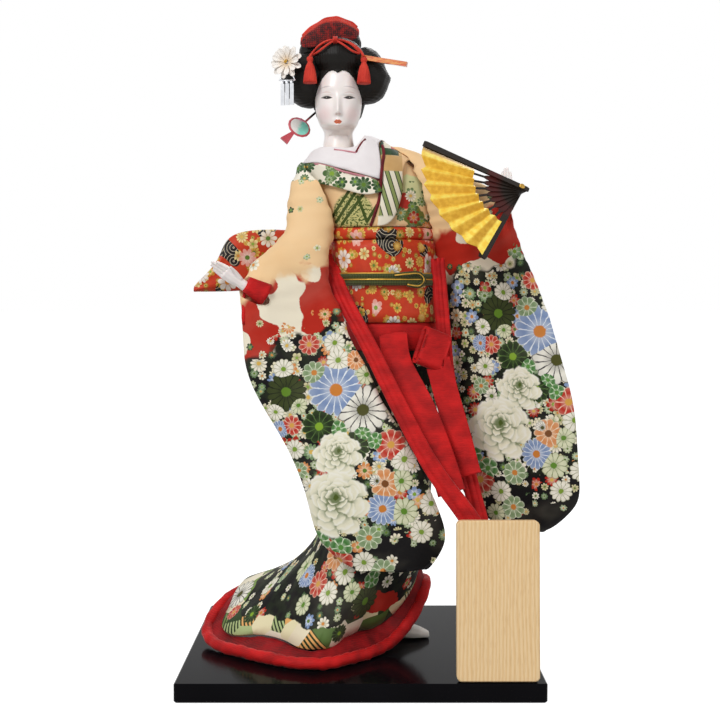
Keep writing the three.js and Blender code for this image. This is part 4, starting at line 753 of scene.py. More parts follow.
# Large flowers: petal count, then petal, line and heart colours
KINDS = {
    "blue": (16, "7c92ba", "e6ebf0", "cf7f34"),
    "olive": (15, "3a4320", "15190b", "5f8426"),
    "moss": (12, "1d2814", "54703a", "86ac32"),
    "inked": (15, "f5f1e4", "14110d", "4c4c22"),
    "daisy": (12, "f4efe0", "a9a884", "7d9c36"),
    "pale": (11, "dfe0bf", "8b9664", "5f8a2e"),
    "orange": (11, "d98c52", "f4dfc2", "7a4a26"),
    "red": (10, "bd2a1c", "efc8b0", "d8a24a"),
    "sage": (9, "7d9668", "e3eacf", "d0843c"),
    "leaf": (6, "3f7a34", "dfeccc", "5c9440"),
}
# One repeat of the print, round its large peony: place in millimetres, radius and kind
REPEAT = (
    (-36, 83, 15.5, "olive"), (0, 84, 21, "blue"), (20, 69, 20, "inked"), (-12, 57, 13, "moss"),
    (2, 55, 7, "leaf"), (20, 52, 7, "leaf"), (30, 46, 7, "leaf"), (14, 42, 12, "moss"), (41, 43, 12, "red"),
    (51, 32, 10, "daisy"), (37, 14, 12, "orange"), (31, 16, 6, "inked"), (49, 16, 9, "pale"),
    (35, -5, 13, "blue"), (51, -7, 11, "pale"), (71, -2, 9, "daisy"), (64, -23, 9, "daisy"),
    (25, -27, 10, "sage"), (-12, -30, 9, "leaf"), (4, -34, 9, "leaf"), (2, -45, 12, "red"),
    (21, -46, 9, "daisy"), (35, -53, 10, "sage"), (-16, -67, 8, "red"), (-7, -71, 7, "daisy"),
    (24, -64, 8, "pale"), (-2, 119, 8, "daisy"), (1, 106, 9, "daisy"), (14, 106, 8, "orange"),
    (22, 95, 8, "pale"), (-20, 118, 8, "red"), (-16, 97, 9, "sage"), (-27, 73, 7, "pale"),
    (-32, 58, 8, "red"), (-41, 55, 7, "blue"), (-44, 68, 7, "daisy"), (-30, 40, 8, "daisy"),
    (-27, 24, 7, "sage"), (-38, 100, 8, "daisy"),
)
PEONIES = ((2, 36, 19), (0, 0, 27))
# A peony's rounds of petals, from the outside: share of its radius, petal count, turn and lift
PEONY_ROUNDS = ((1.0, 8.0, 0.2, -0.04), (0.84, 7.0, 1.1, 0.0), (0.68, 7.0, 2.3, 0.05), (0.53, 6.0, 0.7, 0.1),
                (0.38, 5.0, 1.9, 0.14), (0.24, 4.0, 0.4, 0.17))


def petals(local, radius, count, turn, depth=0.45):
    """(inside the outline, distance as a share of the radius, middle of a petal, distance to the outline)."""
    x, y, _ = local.split()
    angle = y.math("ARCTAN2", x) + turn
    lobe = abs((angle * (count * 0.5)).math("COSINE"))
    distance = local.length() / radius
    inside = lobe.math("POWER", 0.6) * depth + (1.0 - depth) - distance
    return inside.slope(0.0, 0.07), distance, lobe, inside


def strew(place, ground, cell, blossoms, density, seed):
    """Flowers of about one size strewn over the ground, one to a cell, where density allows."""
    shifted = place + (seed * 37.0, seed * 91.0, 0.0)
    _, chance, middle = shifted.cells(cell, 0.75)
    first, second, third = chance.split()
    radius = first * (0.2 * cell) + 0.38 * cell
    count = (second * 7.0 + 4.6).math("ROUND")
    mask, distance, lobe, _ = petals(shifted - middle, radius, count, third * TURN)
    petal, line = (third.pick(colours) for colours in zip(*blossoms))
    petal = distance.slope(0.75, 0.2, 0.0, 0.5).mix(petal, line)
    petal = lobe.slope(0.42, 0.1, 0.0, 0.85).mix(petal, line)
    petal = distance.slope(0.28, 0.22).mix(petal, second.pick(HEARTS))
    return (mask * first.math("LESS_THAN", density)).mix(ground, petal)


def large_flowers(place, ground, flowers):
    """Chrysanthemums (x, y, radius, kind): at each point the one that reaches it most covers the ground."""
    nearest, centre, shape = 9.0, (0.0, 0.0, 0.0), (1.0, 8.0, 0.0)
    shown = [NIGHT] * 3
    for x, y, radius, kind in flowers:
        count, *colours = KINDS[kind]
        share = place.far((x, y, 0.0)) / radius
        closer = share.math("LESS_THAN", nearest)
        nearest = share.math("MINIMUM", nearest)
        centre = closer.mix_vector(centre, (x, y, 0.0))
        shape = closer.mix_vector(shape, (radius, count, 0.0))
        shown = [closer.mix(*pair) for pair in zip(shown, colours)]
    petal, line, heart = shown
    radius, count, _ = shape.split()
    mask, distance, lobe, inside = petals(place - centre, radius, count, 0.3, 0.2)
    colour = distance.slope(0.5, 1.0, 0.0, 0.2).mix(petal, line)
    colour = distance.slope(0.6, 0.25, 0.0, 0.4).mix(colour, line)
    colour = lobe.slope(0.38, 0.12).mix(colour, line)
    colour = distance.slope(0.25, 0.2).mix(colour, heart)
    return mask.mix(ground, inside.slope(0.11, 0.05, 0.0, 0.8).mix(colour, line))


def peony(place, ground, centre, radius):
    """Rounds of broad petals, cream at their edges and olive towards their roots."""
    local = place - (*centre, 0.0)
    sway = local.noise(radius / 2.6, output=1) * ((radius * 0.34,) * 3) - ((radius * 0.17,) * 3)
    local = (local + sway).flat()
    for share, count, turn, lift in PEONY_ROUNDS:
        about = local - (0.0, radius * lift, 0.0)
        mask, distance, lobe, _ = petals(about, radius * share, count, turn, 0.26)
        colour = distance.slope(0.5, 0.82).mix("76835a", "eee9cf")
        colour = distance.slope(0.8, 0.95).mix(colour, "f7f4e6")
        colour = lobe.slope(0.4, 0.06, 0.0, 0.75).mix(colour, "6d7a4e")
        ground = mask.mix(ground, colour)
    heart = local.far((0.0, radius * 0.17, 0.0))
    return heart.slope(radius * 0.1, radius * 0.06).mix(ground, "4c5c24")


def printed_silk(name, zones, flowers=(), peonies=(), fill=0.95, finish=None):
    """Painted silk. zones are the levels on the cloth where cloud, blossom and night begin."""
    clouds, blossoms, night = zones
    paint = Paint(name, 0.68, Sheen_Weight=0.06, Sheen_Roughness=0.4, Specular_IOR_Level=0.16)
    cloth = paint.attribute("cloth")
    wander = cloth.noise(1 / 0.35, output=1) * (1.4, 1.4, 0.0) - (0.7, 0.7, 0.0)
    place = (cloth + wander).flat()
    level = cloth.split()[2] + (place.noise(22.0, 3.0) * 46.0 - 23.0)
    cloud = (place + (300.0, 40.0, 0.0)).noise(24.0, 1.0)
    sky = cloud.slope(0.46, 0.48).mix(CREAM, CLOUD_RED)
    ground = place.noise(30.0, 3.0).mix(PEACH, "f3d3a4")
    ground = level.slope(clouds + 4, clouds - 4).mix(ground, sky)
    bed = place.noise(9.0).slope(0.4, 0.6).mix("171d10", NIGHT)
    ground = level.slope(blossoms + 3, blossoms - 3).mix(ground, bed)
    ground = level.slope(night + 4, night - 4).mix(ground, NIGHT)
    bloom = level.slope(blossoms + 12, blossoms - 8, 0.06, fill) * level.slope(night - 30, night + 14, 0.1)
    ground = strew(place, ground, 7.5, PALE_BLOSSOMS, bloom, 1)
    ground = strew(place, ground, 13.0, MIXED_BLOSSOMS, bloom * 0.75, 2)
    if finish:
        ground = finish(cloth, ground)
    if flowers:
        ground = large_flowers(place, ground, flowers)
    for x, y, radius in peonies:
        ground = peony(place, ground, (x, y), radius)
    paint.weave(cloth, 0.7, 0.2)
    paint.crepe(cloth, 1.1, 0.25)
    return paint.done(cloth.noise(40.0, 3.0).slope(0.45, 0.8, 0.0, 0.05).mix(ground, CREAM))


def brocade():
    """Orange-red silk with gold blossoms, white plums and black panels of white feather lines."""
    paint = Paint("brocade", Sheen_Weight=0.08, Sheen_Roughness=0.35, Specular_IOR_Level=0.25)
    place = paint.attribute("cloth").flat()
    x, y, _ = place.split()
    ground = place.noise(7.0, 3.0).mix("b8301a", "d6451f")
    ground = strew(place, ground, 5.5, GOLD_BLOSSOMS, 0.4, 3)
    panel = (place + (31.0, 9.0, 0.0)).noise(30.0, 0.0).slope(0.6, 0.61)
    arcs = place.cells(15.0, 0.4)[0].wave(1 / 6)
    ground = panel.mix(ground, arcs.slope(0.8, 0.97).mix("100a08", "d9cbb0"))
    ground = strew(place, ground, 11.0, GOLD_BLOSSOMS, 0.5, 6)
    ground = strew(place, ground, 17.0, PLUMS, 0.45, 4)
    paint.bump((x + y).wave(0.7), 0.25, 0.1)
    paint.rough(place.noise(2.0).slope(0.3, 0.7, 0.35, 0.62))
    return paint.done(ground)


def bars(place, ground, strokes, width, colour):
    """Straight strokes between pairs of points on the cloth."""
    for start, end in strokes:
        way = Vector((*end, 0.0)) - Vector((*start, 0.0))
        offset = place - (*start, 0.0)
        share = offset.vector("DOT_PRODUCT", tuple(way / way.length_squared), output=1)
        share = share.math("MAXIMUM", 0.0).math("MINIMUM", 1.0)
        foot = place.nodes.add("VectorMath", {0: tuple(way), "Scale": share}, operation="SCALE")
        ground = offset.far(foot).slope(width * 0.6, width * 0.45).mix(ground, colour)
    return ground


def foliage(place):
    """Green leaves on white."""
    ground = place.noise(14.0, 3.0).mix("efe7d2", "f7f1e2")
    ground = strew(place, ground, 14.0, LEAVES, 1.0, 5)
    return strew(place, ground, 9.0, LEAVES, 0.75, 8)


def leafy_silk():
    paint = Paint("leafy_silk", 0.68, Sheen_Weight=0.06, Specular_IOR_Level=0.18)
    place = paint.attribute("cloth").flat()
    paint.weave(place, 0.7)
    return paint.done(foliage(place))


CHECK_SIZE = 6.0
CHECKS = ("1f3a22", "efe7d2", "6d8a5c", "b8342a", "2c4a2a", "d2a868")
# Where the left lapel passes under the sleeve and has the sleeve's colour
LAPEL_END = 32.0


def block_silk(checks_above, tan_above, bars_above):
    """Lapel silk in blocks: checks at the shoulder, then tan, then green bars, then leaves on white."""
    paint = Paint("block_silk", 0.68, Sheen_Weight=0.06, Specular_IOR_Level=0.18)
    cloth = paint.attribute("cloth")
    x, y, level = cloth.split()
    place = cloth.flat()
    cream = place.noise(14.0, 3.0).mix("ece3ca", "f5eedd")
    bar = (x + y * 0.3).wave(7.5)
    barred = bar.slope(-0.15, 0.05).mix(cream, "27331a")
    barred = bar.slope(0.45, 0.6).mix(barred, "8d9a5e")
    tan = place.noise(8.0).mix("c79a5e", "dbb47c")
    square = place.vector("SNAP", (CHECK_SIZE, CHECK_SIZE, 1.0))
    checks = paint.add("TexWhiteNoise", {"Vector": square}, noise_dimensions="3D").pick(CHECKS)
    ground = strew(place, cream, 9.0, LEAVES, 0.55, 7)
    ground = level.slope(bars_above - 1, bars_above + 1).mix(ground, barred)
    ground = level.slope(tan_above - 0.5, tan_above + 0.5).mix(ground, tan)
    ground = level.slope(checks_above - 0.5, checks_above + 0.5).mix(ground, checks)
    paint.weave(place, 0.7)
    return paint.done(x.slope(LAPEL_END, LAPEL_END + 1.0).mix(ground, PEACH))


# Cord on the wig: it runs from tassel to tassel over the front of the hair, and is tied in a bow

CORD_RADIUS = 1.0
CORD_STAND = 1.6
HAIR_NODES = ("hair_front", "hair_back", "hair_wing_left", "hair_wing_right", "hair_topknot")
TASSELS = ("tassel_right", "tassel_left")
CORD_KNOT = (-19.4, 489.0)
CORD_POINTS = ((-35.4, 483.0), (-27.4, 488.0), CORD_KNOT, (-9.4, 487.5), (-1.4, 483.0))
# The bow's loops as (sideways, upwards) from the knot, and the turns round the knot as (back, upwards)
CORD_LOOP = ((6.0, -0.6), (13.0, -4.0), (18.5, -9.5), (13.0, -8.8), (6.0, -4.2))
LOOP_OFF_HAIR = 3.6
KNOT_STAND = 2.8
KNOT_WRAP = ((1.0, -2.2), (-1.9, 0.0), (1.0, 2.2))
WRAP_PLACES = (-0.9, 0.9)


def tassel_top(name):
    return Vector((*node_middle(name).xy, node_box(name)[1].z))


def make_hair_cord(material):
    bm = merged(*HAIR_NODES, "topknot_cloth")
    tree = BVHTree.FromBMesh(bm)
    bm.free()
    middle = [front_at(tree, x, z, CORD_STAND) for x, z in CORD_POINTS]
    ends = [tassel_top(name) + UP * 0.6 for name in TASSELS]
    route = curve_through([ends[0], *middle, ends[1]])
    cord = add_piece("hair_cord", tube(route, CORD_RADIUS), "head", material, ["hair_cord"])
    knot = front_at(tree, *CORD_KNOT, KNOT_STAND)
    tubes = []
    for side in (-1, 1):
        ring = [front_at(tree, knot.x + side * dx, knot.z + dz, LOOP_OFF_HAIR) for dx, dz in CORD_LOOP]
        end = knot + Vector((side * 0.6, -0.4, -0.6))
        tubes.append(tube(curve_through([knot, *ring, end]), CORD_RADIUS * 0.85))
    for dx in WRAP_PLACES:
        tubes.append(tube(curve_through([knot + Vector((dx, *turn)) for turn in KNOT_WRAP]), CORD_RADIUS))
    bow = add_piece("hair_cord_bow", joined(*tubes), "head", material)
    for piece in (cord, bow):
        flat_cloth(piece)
    length = sum((b - a).length for a, b in zip(route, route[1:]))
    route[0] * MM
    [point * MM for point in route]


RED = crepe_silk("red_crepe", "d41c1c", "9c1012")
SCARLET = crepe_silk("scarlet_crepe", "e24836", "b82c22")
make_hair_cord(SCARLET)

# Board, plaque, screws, legs and wires keep their CAD shapes


def dress(material, *nodes):
    """Gives CAD nodes that stay in view their finish."""
    for node in nodes:
        for slot in NODES[node].material_slots:
            slot.material = material


dress(lacquer(), "base_board")
dress(pale_wood(), "plaque")
dress(metal("steel"), "foot_screw_left", "foot_screw_right", "arm_wire_left", "arm_wire_right")
dress(turned_wood(), "leg_rod_left", "leg_rod_right")

# Stuffed body, tabi feet and hands

# How far the clothes' top is lowered or raised at the neck, by x
NECKLINE = ((-52, -10.0), (-41, -9.5), (-31, -6.5), (-20, -7.0), (-10, -8.0), (-3, -6.0), (3, 2.5),
            (18, 3.5), (30, 0.0))
BODY_CENTRE = (20.0, 3.0)
BODY_RADIUS = 42.0
FINGERS_FROM = 370.0
FINGERS_LONGER = 8.0


def open_neck(points):
    """Opens the clothes round the neck and slopes the right shoulder."""
    change = np.interp(points[:, 0], *zip(*NECKLINE)) * step(points[:, 2], 394.0, 412.0)
    return points + np.outer(change, UP)


def longer_fingers(points):
    top = points[:, 2].max()
    return points + np.outer(FINGERS_LONGER * step(points[:, 2], FINGERS_FROM, top), UP)


# The stuffed core is dark red, as a red under-cover and as painted shade in the gaps among the clothes
core = dressed("body_core", plain_cloth("core_cloth_gap_shade", "7c1218", "4a080d", 0.9, 0.3))
remesh(core, 2.5, 2)
swell(core, lambda points: ripple(points, 18.0, 1) * 0.3 - 0.3)
reshape(core, open_neck)

TABI = plain_cloth("tabi_cotton", "f7f4ee", "e6e1d8", 0.5, 0.1)
for name in ("foot_left", "foot_right"):
    foot = dressed(name, TABI)
    remesh(foot, 0.8, 4)

SKIN = skin()
for name in ("hand_left", "hand_right"):
    hand = dressed(name, SKIN)
    remesh(hand, 0.45, 4)
    if name == "hand_left":
        reshape(hand, longer_fingers)
    note(hand, "face", np.full((len(hand.data.vertices), 3), (0.0, 60.0, 0.0)))

# Skirt, under-robe and padded hem

SKIRT_TOP_CENTRE = np.array((24.0, 3.0, 250.0))
SKIRT_HEM_CENTRE = np.array((-25.0, -8.0, 25.0))
SKIRT_TOP_RADIUS = 38.0
SKIRT_CLOTH_RADIUS = 28.0
HEM_SECTORS = 90
# Large flowers on the skirt's front: pixel, radius in millimetres and kind
SKIRT_FLOWERS = (
    (240, 594, 11, "inked"), (234, 612, 6, "red"), (252, 614, 7, "moss"), (318, 584, 10, "red"),
    (328, 593, 9, "daisy"), (303, 605, 8, "pale"), (392, 618, 14, "olive"), (361, 642, 7, "moss"),
    (306, 566, 11, "pale"), (286, 574, 7, "sage"), (270, 586, 7, "daisy"), (345, 572, 10, "daisy"),
    (352, 592, 8, "pale"), (336, 556, 11, "orange"), (372, 580, 8, "leaf"), (282, 558, 9, "blue"),
)
RED_AREA = (376, 612)
PATCHES = ("efe3c4", "7d9a4e", "e9b06a", "2c4020", "f3ead2", "b3c389", "ece2b8", "58733a")
PATCH_BAND = 15.0
SEWN_WITHIN = 8.0
SEWN_DEPTH = 0.6


def skirt_place(points):
    """Each point's place on the skirt's cloth, round the figure and up from the ground, and its angle."""
    share = (points[:, 2:] - SKIRT_HEM_CENTRE[2]) / (SKIRT_TOP_CENTRE[2] - SKIRT_HEM_CENTRE[2])
    offset = points - (SKIRT_HEM_CENTRE * (1 - share) + SKIRT_TOP_CENTRE * share)
    angle = np.arctan2(offset[:, 0], -offset[:, 1])
    reach = np.hypot(offset[:, 0], offset[:, 1])
    fall = np.hypot(SKIRT_TOP_CENTRE[2] - points[:, 2], reach - SKIRT_TOP_RADIUS)
    return np.column_stack([angle * (SKIRT_CLOTH_RADIUS + reach / 2), SKIRT_TOP_CENTRE[2] - fall]), angle


def skirt_cloth(piece):
    """Notes each point's place on the skirt's cloth, and how far it lies above the hem below it."""
    place, angle = skirt_place(points_of(piece))
    sector = ((angle / TURN + 0.5) * HEM_SECTORS).astype(int) % HEM_SECTORS
    lowest = np.full(HEM_SECTORS, np.inf)
    np.minimum.at(lowest, sector, place[:, 1])
    turns = (np.arange(HEM_SECTORS) + 0.5) / HEM_SECTORS * TURN - math.pi
    note(piece, "cloth", place, place[:, 1] - np.interp(angle, turns, lowest, period=TURN))


def skirt_folds(points):
    folds = 0.5 * np.sin(skirt_place(points)[1] * 13 + points[:, 2] * 0.02) + 0.4 * ripple(points, 30.0, 5)
    return step(points[:, 2], 230.0, 80.0) * folds


def hem_puckers(points):
    angle = skirt_place(points)[1]
    return 0.8 - 0.5 * np.abs(np.sin(angle * 24)) ** 6 + 0.3 * ripple(points, 9.0, 8)


def patchwork_hem(red_place):
    """Paints a red area on the skirt's front and a band of patches along its hem."""

    def painted(cloth, ground):
        place = cloth.flat()
        x, y, above = cloth.split()
        drift = place.noise(12.0)
        away = ((place - (*red_place, 0.0)) * (0.035, 0.06, 0.0)).length() + drift
        ground = away.slope(1.5, 1.45).mix(ground, "b52a1e")
        first, second, _ = place.cells(15.0, 0.9)[1].split()
        patch = first.pick(PATCHES)
        barred = (x * 0.8 + y).wave(3.6).slope(0.0, 0.2).mix(patch, "22331a")
        patch = second.math("GREATER_THAN", 0.68).mix(patch, barred)
        edge = above + (drift * 14.0 - 7.0)
        return edge.slope(PATCH_BAND + 0.5, PATCH_BAND - 0.5).mix(ground, patch)

    return painted


def make_skirt():
    piece = dressed("kimono_skirt", levels=2)
    swell(piece, skirt_folds)
    skirt_cloth(piece)
    tree = skin_of(piece)

    def on_cloth(x, y):
        return skirt_place(np.array([seen_at(tree, x, y)]))[0][0]

    flowers = [(*on_cloth(x, y), radius, kind) for x, y, radius, kind in SKIRT_FLOWERS]
    silk = printed_silk("skirt_silk", (420.0, 400.0, -90.0), flowers, fill=0.4,
                        finish=patchwork_hem(on_cloth(*RED_AREA)))
    piece.data.materials.append(silk)
    as_sheet(piece, 225.0)


def sewn_to(tree):
    """Draws the points near another piece into it, as a seam does."""

    def drawn(points):
        moved = points.copy()
        for i, point in enumerate(points):
            found, _, _, distance = tree.find_nearest(Vector(point) * MM, SEWN_WITHIN * MM)
            if found is None or distance == 0.0:
                continue
            distance /= MM
            way = (np.array(found) / MM - point) * (distance + SEWN_DEPTH) / distance
            moved[i] += way * step(distance, SEWN_WITHIN, 0.4 * SEWN_WITHIN)
        return moved

    return drawn


make_skirt()
roll = dressed("hem_roll", RED, 3)
swell(roll, hem_puckers)
skirt_cloth(roll)
robe = dressed("under_robe", crepe_silk("crimson_crepe", "9c1016", "5e070a"), 3)
swell(robe, lambda points: 0.4 + 0.4 * ripple(points, 9.0, 12))
reshape(robe, sewn_to(skin_of(roll)))
skirt_cloth(robe)
as_sheet(robe, 12.0)

# Sleeves

# How far each sleeve's inner edge reaches towards the body, by height
EDGE_REACH = {
    "right": ((215, 0.0), (233, 4.0), (255, 7.5), (276, 8.0), (286, 6.2), (297, 2.2), (308, 0.0), (330, 0.5),
              (340, 2.5), (353, 3.5), (368, 1.0), (380, 0.0)),
    "left": ((318, 0.0), (330, -6.0), (345, -7.5), (362, -6.0), (376, -5.5), (390, -6.5), (400, -4.5),
             (408, -1.0), (412, 0.0)),
}
EDGE_WIDTH = 10.0
# How the levels of a sleeve's ground colours tilt
SLEEVE_LEAN = -0.4
# The lower edge of the leafy yoke on the right shoulder
YOKE_LEVEL = 384.0
CUFF_LENGTH = 17.0
CUFF_OVERLAP = 2.0
CUFF_RADIUS = 4.6
CUFF_FLARE = 2.6
CUFF_TALLER = 1.25
CUFF_PLEATS = 7
PLEAT_DEPTH = 0.35
CUFF_STEPS = 6
CUFF_POINTS = 32
# How far a sewn trim stands off the cloth, as a share of its radius
TRIM_STAND = 0.4
CUFF_EDGE = ((246, 287), (244, 297), (243.5, 311), (243.5, 324))


def sleeve_folds(points, seed):
    hang = step(points[:, 2], 330.0, 240.0)
    drape = ripple(points, 34.0, seed, (1.0, 1.0, 0.25)) * 0.9 * hang
    creases = ripple(points, 13.0, seed + 1, (0.45, 0.45, 1.4)) * 0.75 * (1 - hang)
    return drape + creases - 0.2


def fuller_edge(side):
    """Brings a sleeve's inner edge towards the body."""
    heights, reaches = zip(*EDGE_REACH[side])
    outward = 1 if side == "right" else -1

    def brought(points):
        levels = np.linspace(heights[0], heights[-1], 30)
        across = points[:, 0] * outward
        edge = [across[np.abs(points[:, 2] - level) < 4.0].max() for level in levels]
        near = step(across - np.interp(points[:, 2], levels, edge), -EDGE_WIDTH, 0.0)
        return points + np.outer(np.interp(points[:, 2], heights, reaches) * near, (1.0, 0.0, 0.0))

    return brought


def leafy_yoke(cloth, ground):
    place = cloth.flat()
    height = cloth.split()[1] + place.noise(9.0) * 6.0
    return height.slope(YOKE_LEVEL + 2.5, YOKE_LEVEL + 3.5).mix(ground, foliage(place))


def make_sleeve(side, across, peony_pixel, turn, zones, finish=None):
    """A sleeve with one repeat of the print, turned by some degrees, whose large peony lies at a pixel."""
    node = "sleeve_" + side
    piece = dressed(node, levels=3)
    swell(piece, lambda points: sleeve_folds(points, len(side)))
    reshape(piece, fuller_edge(side))
    origin = seen_at(skin_of(piece), *peony_pixel)
    cos, sin = math.cos(math.radians(turn)), math.sin(math.radians(turn))

    def placed(dx, dy, *rest):
        return origin.dot(Vector(across)) + cos * dx - sin * dy, origin.z + sin * dx + cos * dy, *rest

    points = points_of(piece)
    level = points[:, 2] + SLEEVE_LEAN * (points[:, 0] - points[:, 0].mean())
    note(piece, "cloth", points @ np.array(across), points[:, 2], level)
    flowers, peonies = ([placed(*flower) for flower in group] for group in (REPEAT, PEONIES))
    piece.data.materials.append(printed_silk(node + "_silk", zones, flowers, peonies, finish=finish))
    return piece


def trim(name, pixels, tree, radius, material):
    """A cord sewn along the cloth, through what the camera sees at some pixels."""
    points = [seen_at(tree, x, y) for x, y in pixels]
    points = [point + (CAMERA_PLACE - point).normalized() * radius * TRIM_STAND for point in points]
    flat_cloth(add_piece(name, tube(curve_through(points, 4), radius), "figure", material))


def make_cuff():
    """The red lining that gathers round the right wrist."""
    hand_points = points_of(NODES["hand_right"])
    wrist = Vector(hand_points[hand_points[:, 0] > hand_points[:, 0].max() - 2.0].mean(axis=0))
    back = (wrist - Vector(hand_points.mean(axis=0))).normalized()
    side = back.cross(UP).normalized()
    up = side.cross(back) * CUFF_TALLER
    rows = []
    for share in (k / CUFF_STEPS for k in range(CUFF_STEPS + 1)):
        place = wrist + back * (CUFF_LENGTH * share - CUFF_OVERLAP)
        row = []
        for turn in (TURN * i / CUFF_POINTS for i in range(CUFF_POINTS)):
            pleat = PLEAT_DEPTH * math.sin(turn * CUFF_PLEATS) * (1 - share)
            size = CUFF_RADIUS + CUFF_FLARE * share + pleat
            row.append(place + (side * math.cos(turn) + up * math.sin(turn)) * size)
        rows.append(row)
    flat_cloth(add_piece("cuff_right", grid(rows, closed=True), "figure", RED))


right_sleeve = make_sleeve("right", (0.995, -0.1, 0.0), (335, 503), 0.0, (312.0, 268.0, 92.0), leafy_yoke)
make_sleeve("left", (0.912, -0.41, 0.0), (500, 428), -24.0, (352.0, 312.0, 132.0))
make_cuff()
trim("cuff_edge_right", CUFF_EDGE, skin_of(right_sleeve), 1.2, RED)

# Bodice, lapels and white collar

TRELLIS_CENTRE = (-6.0, 357.0, 0.0)
LATTICE = (((-25.4, 350), (-7.7, 375.5)), ((-19, 350.4), (-3.5, 373.2)), ((-14.3, 348.8), (2, 370.6)),
           ((-2.3, 369), (5, 350)), ((5, 350), (12.7, 362.5)))
# Clouds of colour on the left side of the chest: centre, radius and colour
CHEST_CLOUDS = (((38, 374), 13.0, "d9dca6"), ((34, 366), 6.5, "b8342a"), ((42, 354), 8.0, "6c7434"))


def trellis(cloth, ground):
    """A bamboo trellis on the right side of the chest, and clouds and leaves on the left side."""
    place = cloth.flat()
    x, y, _ = place.split()
    speckle = place.noise(1.6).slope(0.5, 0.56).mix("c3bd7c", "4a5a26")
    ground = place.far(TRELLIS_CENTRE).slope(17.0, 14.0).mix(ground, speckle)
    ground = bars(place, ground, LATTICE, 2.2, "3c4c1c")
    for centre, radius, colour in CHEST_CLOUDS:
        away = place.far((*centre, 0.0)) + place.noise(7.0) * 6.0
        ground = away.slope(radius + 3.5, radius + 2.5).mix(ground, colour)
    low = x.slope(20.0, 28.0) * y.slope(388.0, 374.0)
    ground = strew(place, ground, 10.0, LEAVES, low * 0.8, 9)
    return strew(place, ground, 12.0, MIXED_BLOSSOMS, low * 0.35, 10)


# Each piece's silk, and its cut width where it is a sheet
NECK_CLOTHES = {
    "bodice": (printed_silk("bodice_silk", (250.0, 200.0, 150.0), finish=trellis), None),
    "lapel_left": (block_silk(402.0, 389.0, 354.0), 26.0),
    "lapel_right": (leafy_silk(), 26.0),
    "under_collar": (plain_cloth("white_silk", "f4efef", "e8e1e2", 0.6, 0.1), 30.0),
}
neck_pieces = []
for name, (silk, width) in NECK_CLOTHES.items():
    piece = dressed(name, silk, 2)
    reshape(piece, open_neck)
    flat_cloth(piece)
    if width:
        as_sheet(piece, width)
    neck_pieces.append(piece)

# Trim along the neckline: pixels, radius and finish
MAROON = crepe_silk("maroon_piping", "7c2028", "52141a")
PINK = crepe_silk("pink_piping", "e0a0a8", "c07a84")
NECK_TRIM = {
    "trim_left_lapel": (((382.4, 145.5), (383.8, 153.6), (382.4, 164.7), (381, 178.6), (379.7, 196.6),
                         (374, 216), (370.5, 226)), 1.2, MAROON),
    "trim_right_lapel": (((314.6, 163.8), (327.4, 165.8), (341.4, 170.8), (359.3, 175.3), (379.5, 180.2)),
                         0.8, PINK),
    "trim_neck_left": (((365.5, 139), (361.5, 143), (358.5, 147.5), (356, 152.5)), 0.8, MAROON),
    "trim_neck_right": (((356, 152.5), (345, 150.8), (334, 149.4)), 0.6, PINK),
}
neck_skin = skin_of(*neck_pieces)
for name, (pixels, radius, silk) in NECK_TRIM.items():
    trim(name, pixels, neck_skin, radius, silk)

# Obi, scarf, cord and bow

BROCADE = brocade()
BRAID_RADIUS = 2.3
BRAID_HEIGHTS = (303.0, 307.9)
GOLD_RADIUS = 0.55
# Height and distance off the obi of the gold threads beside the braids
GOLD_LINES = ((310.2, 3.2), (305.5, 4.2))
# The braid's loop in front, as (x, height, distance off the obi)
BRAID_LOOP = ((26, 308.5, 4.4), (36, 309.6, 6.4), (45, 309.8, 6.4), (49, 305.2, 6.4), (45, 300.6, 6.4),
              (36, 301.6, 4.4))
RING_POINTS = 72


def round_body(tree, height, stand):
    """A ring of points round the figure, at a distance off the cloth there."""
    ring = []
    for k in range(RING_POINTS + 1):
        turn = TURN * k / RING_POINTS
        out = Vector((-math.sin(turn), math.cos(turn), 0.0))
        start = Vector((*BODY_CENTRE, height)) + out * 150.0
        ring.append(tree.ray_cast(start * MM, -out)[0] / MM + out * stand)
    return ring


def make_obi_cord():
    tree = skin_of(NODES["obi"])
    plaited = braid()
    braids = [tube(round_body(tree, height, BRAID_RADIUS + 0.4), BRAID_RADIUS) for height in BRAID_HEIGHTS]
    wound_cloth(add_piece("obi_cord", joined(*braids), "figure", plaited, ["obi_cord"]))
    route = curve_through([front_at(tree, *point) for point in BRAID_LOOP])
    flat_cloth(add_piece("obi_cord_loop", tube(route, BRAID_RADIUS * 0.8), "figure", plaited))
    edge = [point - Vector((0, BRAID_RADIUS * 0.7, 0)) for point in route]
    gold = [tube(round_body(tree, *line), GOLD_RADIUS) for line in GOLD_LINES]
    add_piece("obi_cord_gold", joined(*gold, tube(edge, GOLD_RADIUS)), "figure", metal("gold_thread"))


for name, width in (("obi", 64.0), ("obi_scarf", 12.0)):
    band = dressed(name, BROCADE, 2)
    swell(band, lambda points: ripple(points, 40.0, 11) * 0.25)
    wound_cloth(band)
    as_sheet(band, width)
make_obi_cord()
for name in ("obi_bow_wings", "obi_bow_knot"):
    bow = dressed(name, BROCADE, 2)
    flat_cloth(bow)

# Red sash

# Bands that hang from the sash: how they hang, cut width, number of folds and their depth
SASH_BANDS = {"sash_loop": ("folded", 24.0, 1, 0.3), "sash_tail_front": ("hung", 24.0, 1, 0.5),
              "sash_tail_side": ("hung", 20.0, 1, 0.5), "strand_left": ("hung", 17.0, 3, 1.1),
              "strand_right": ("hung", 17.0, 3, 1.1)}


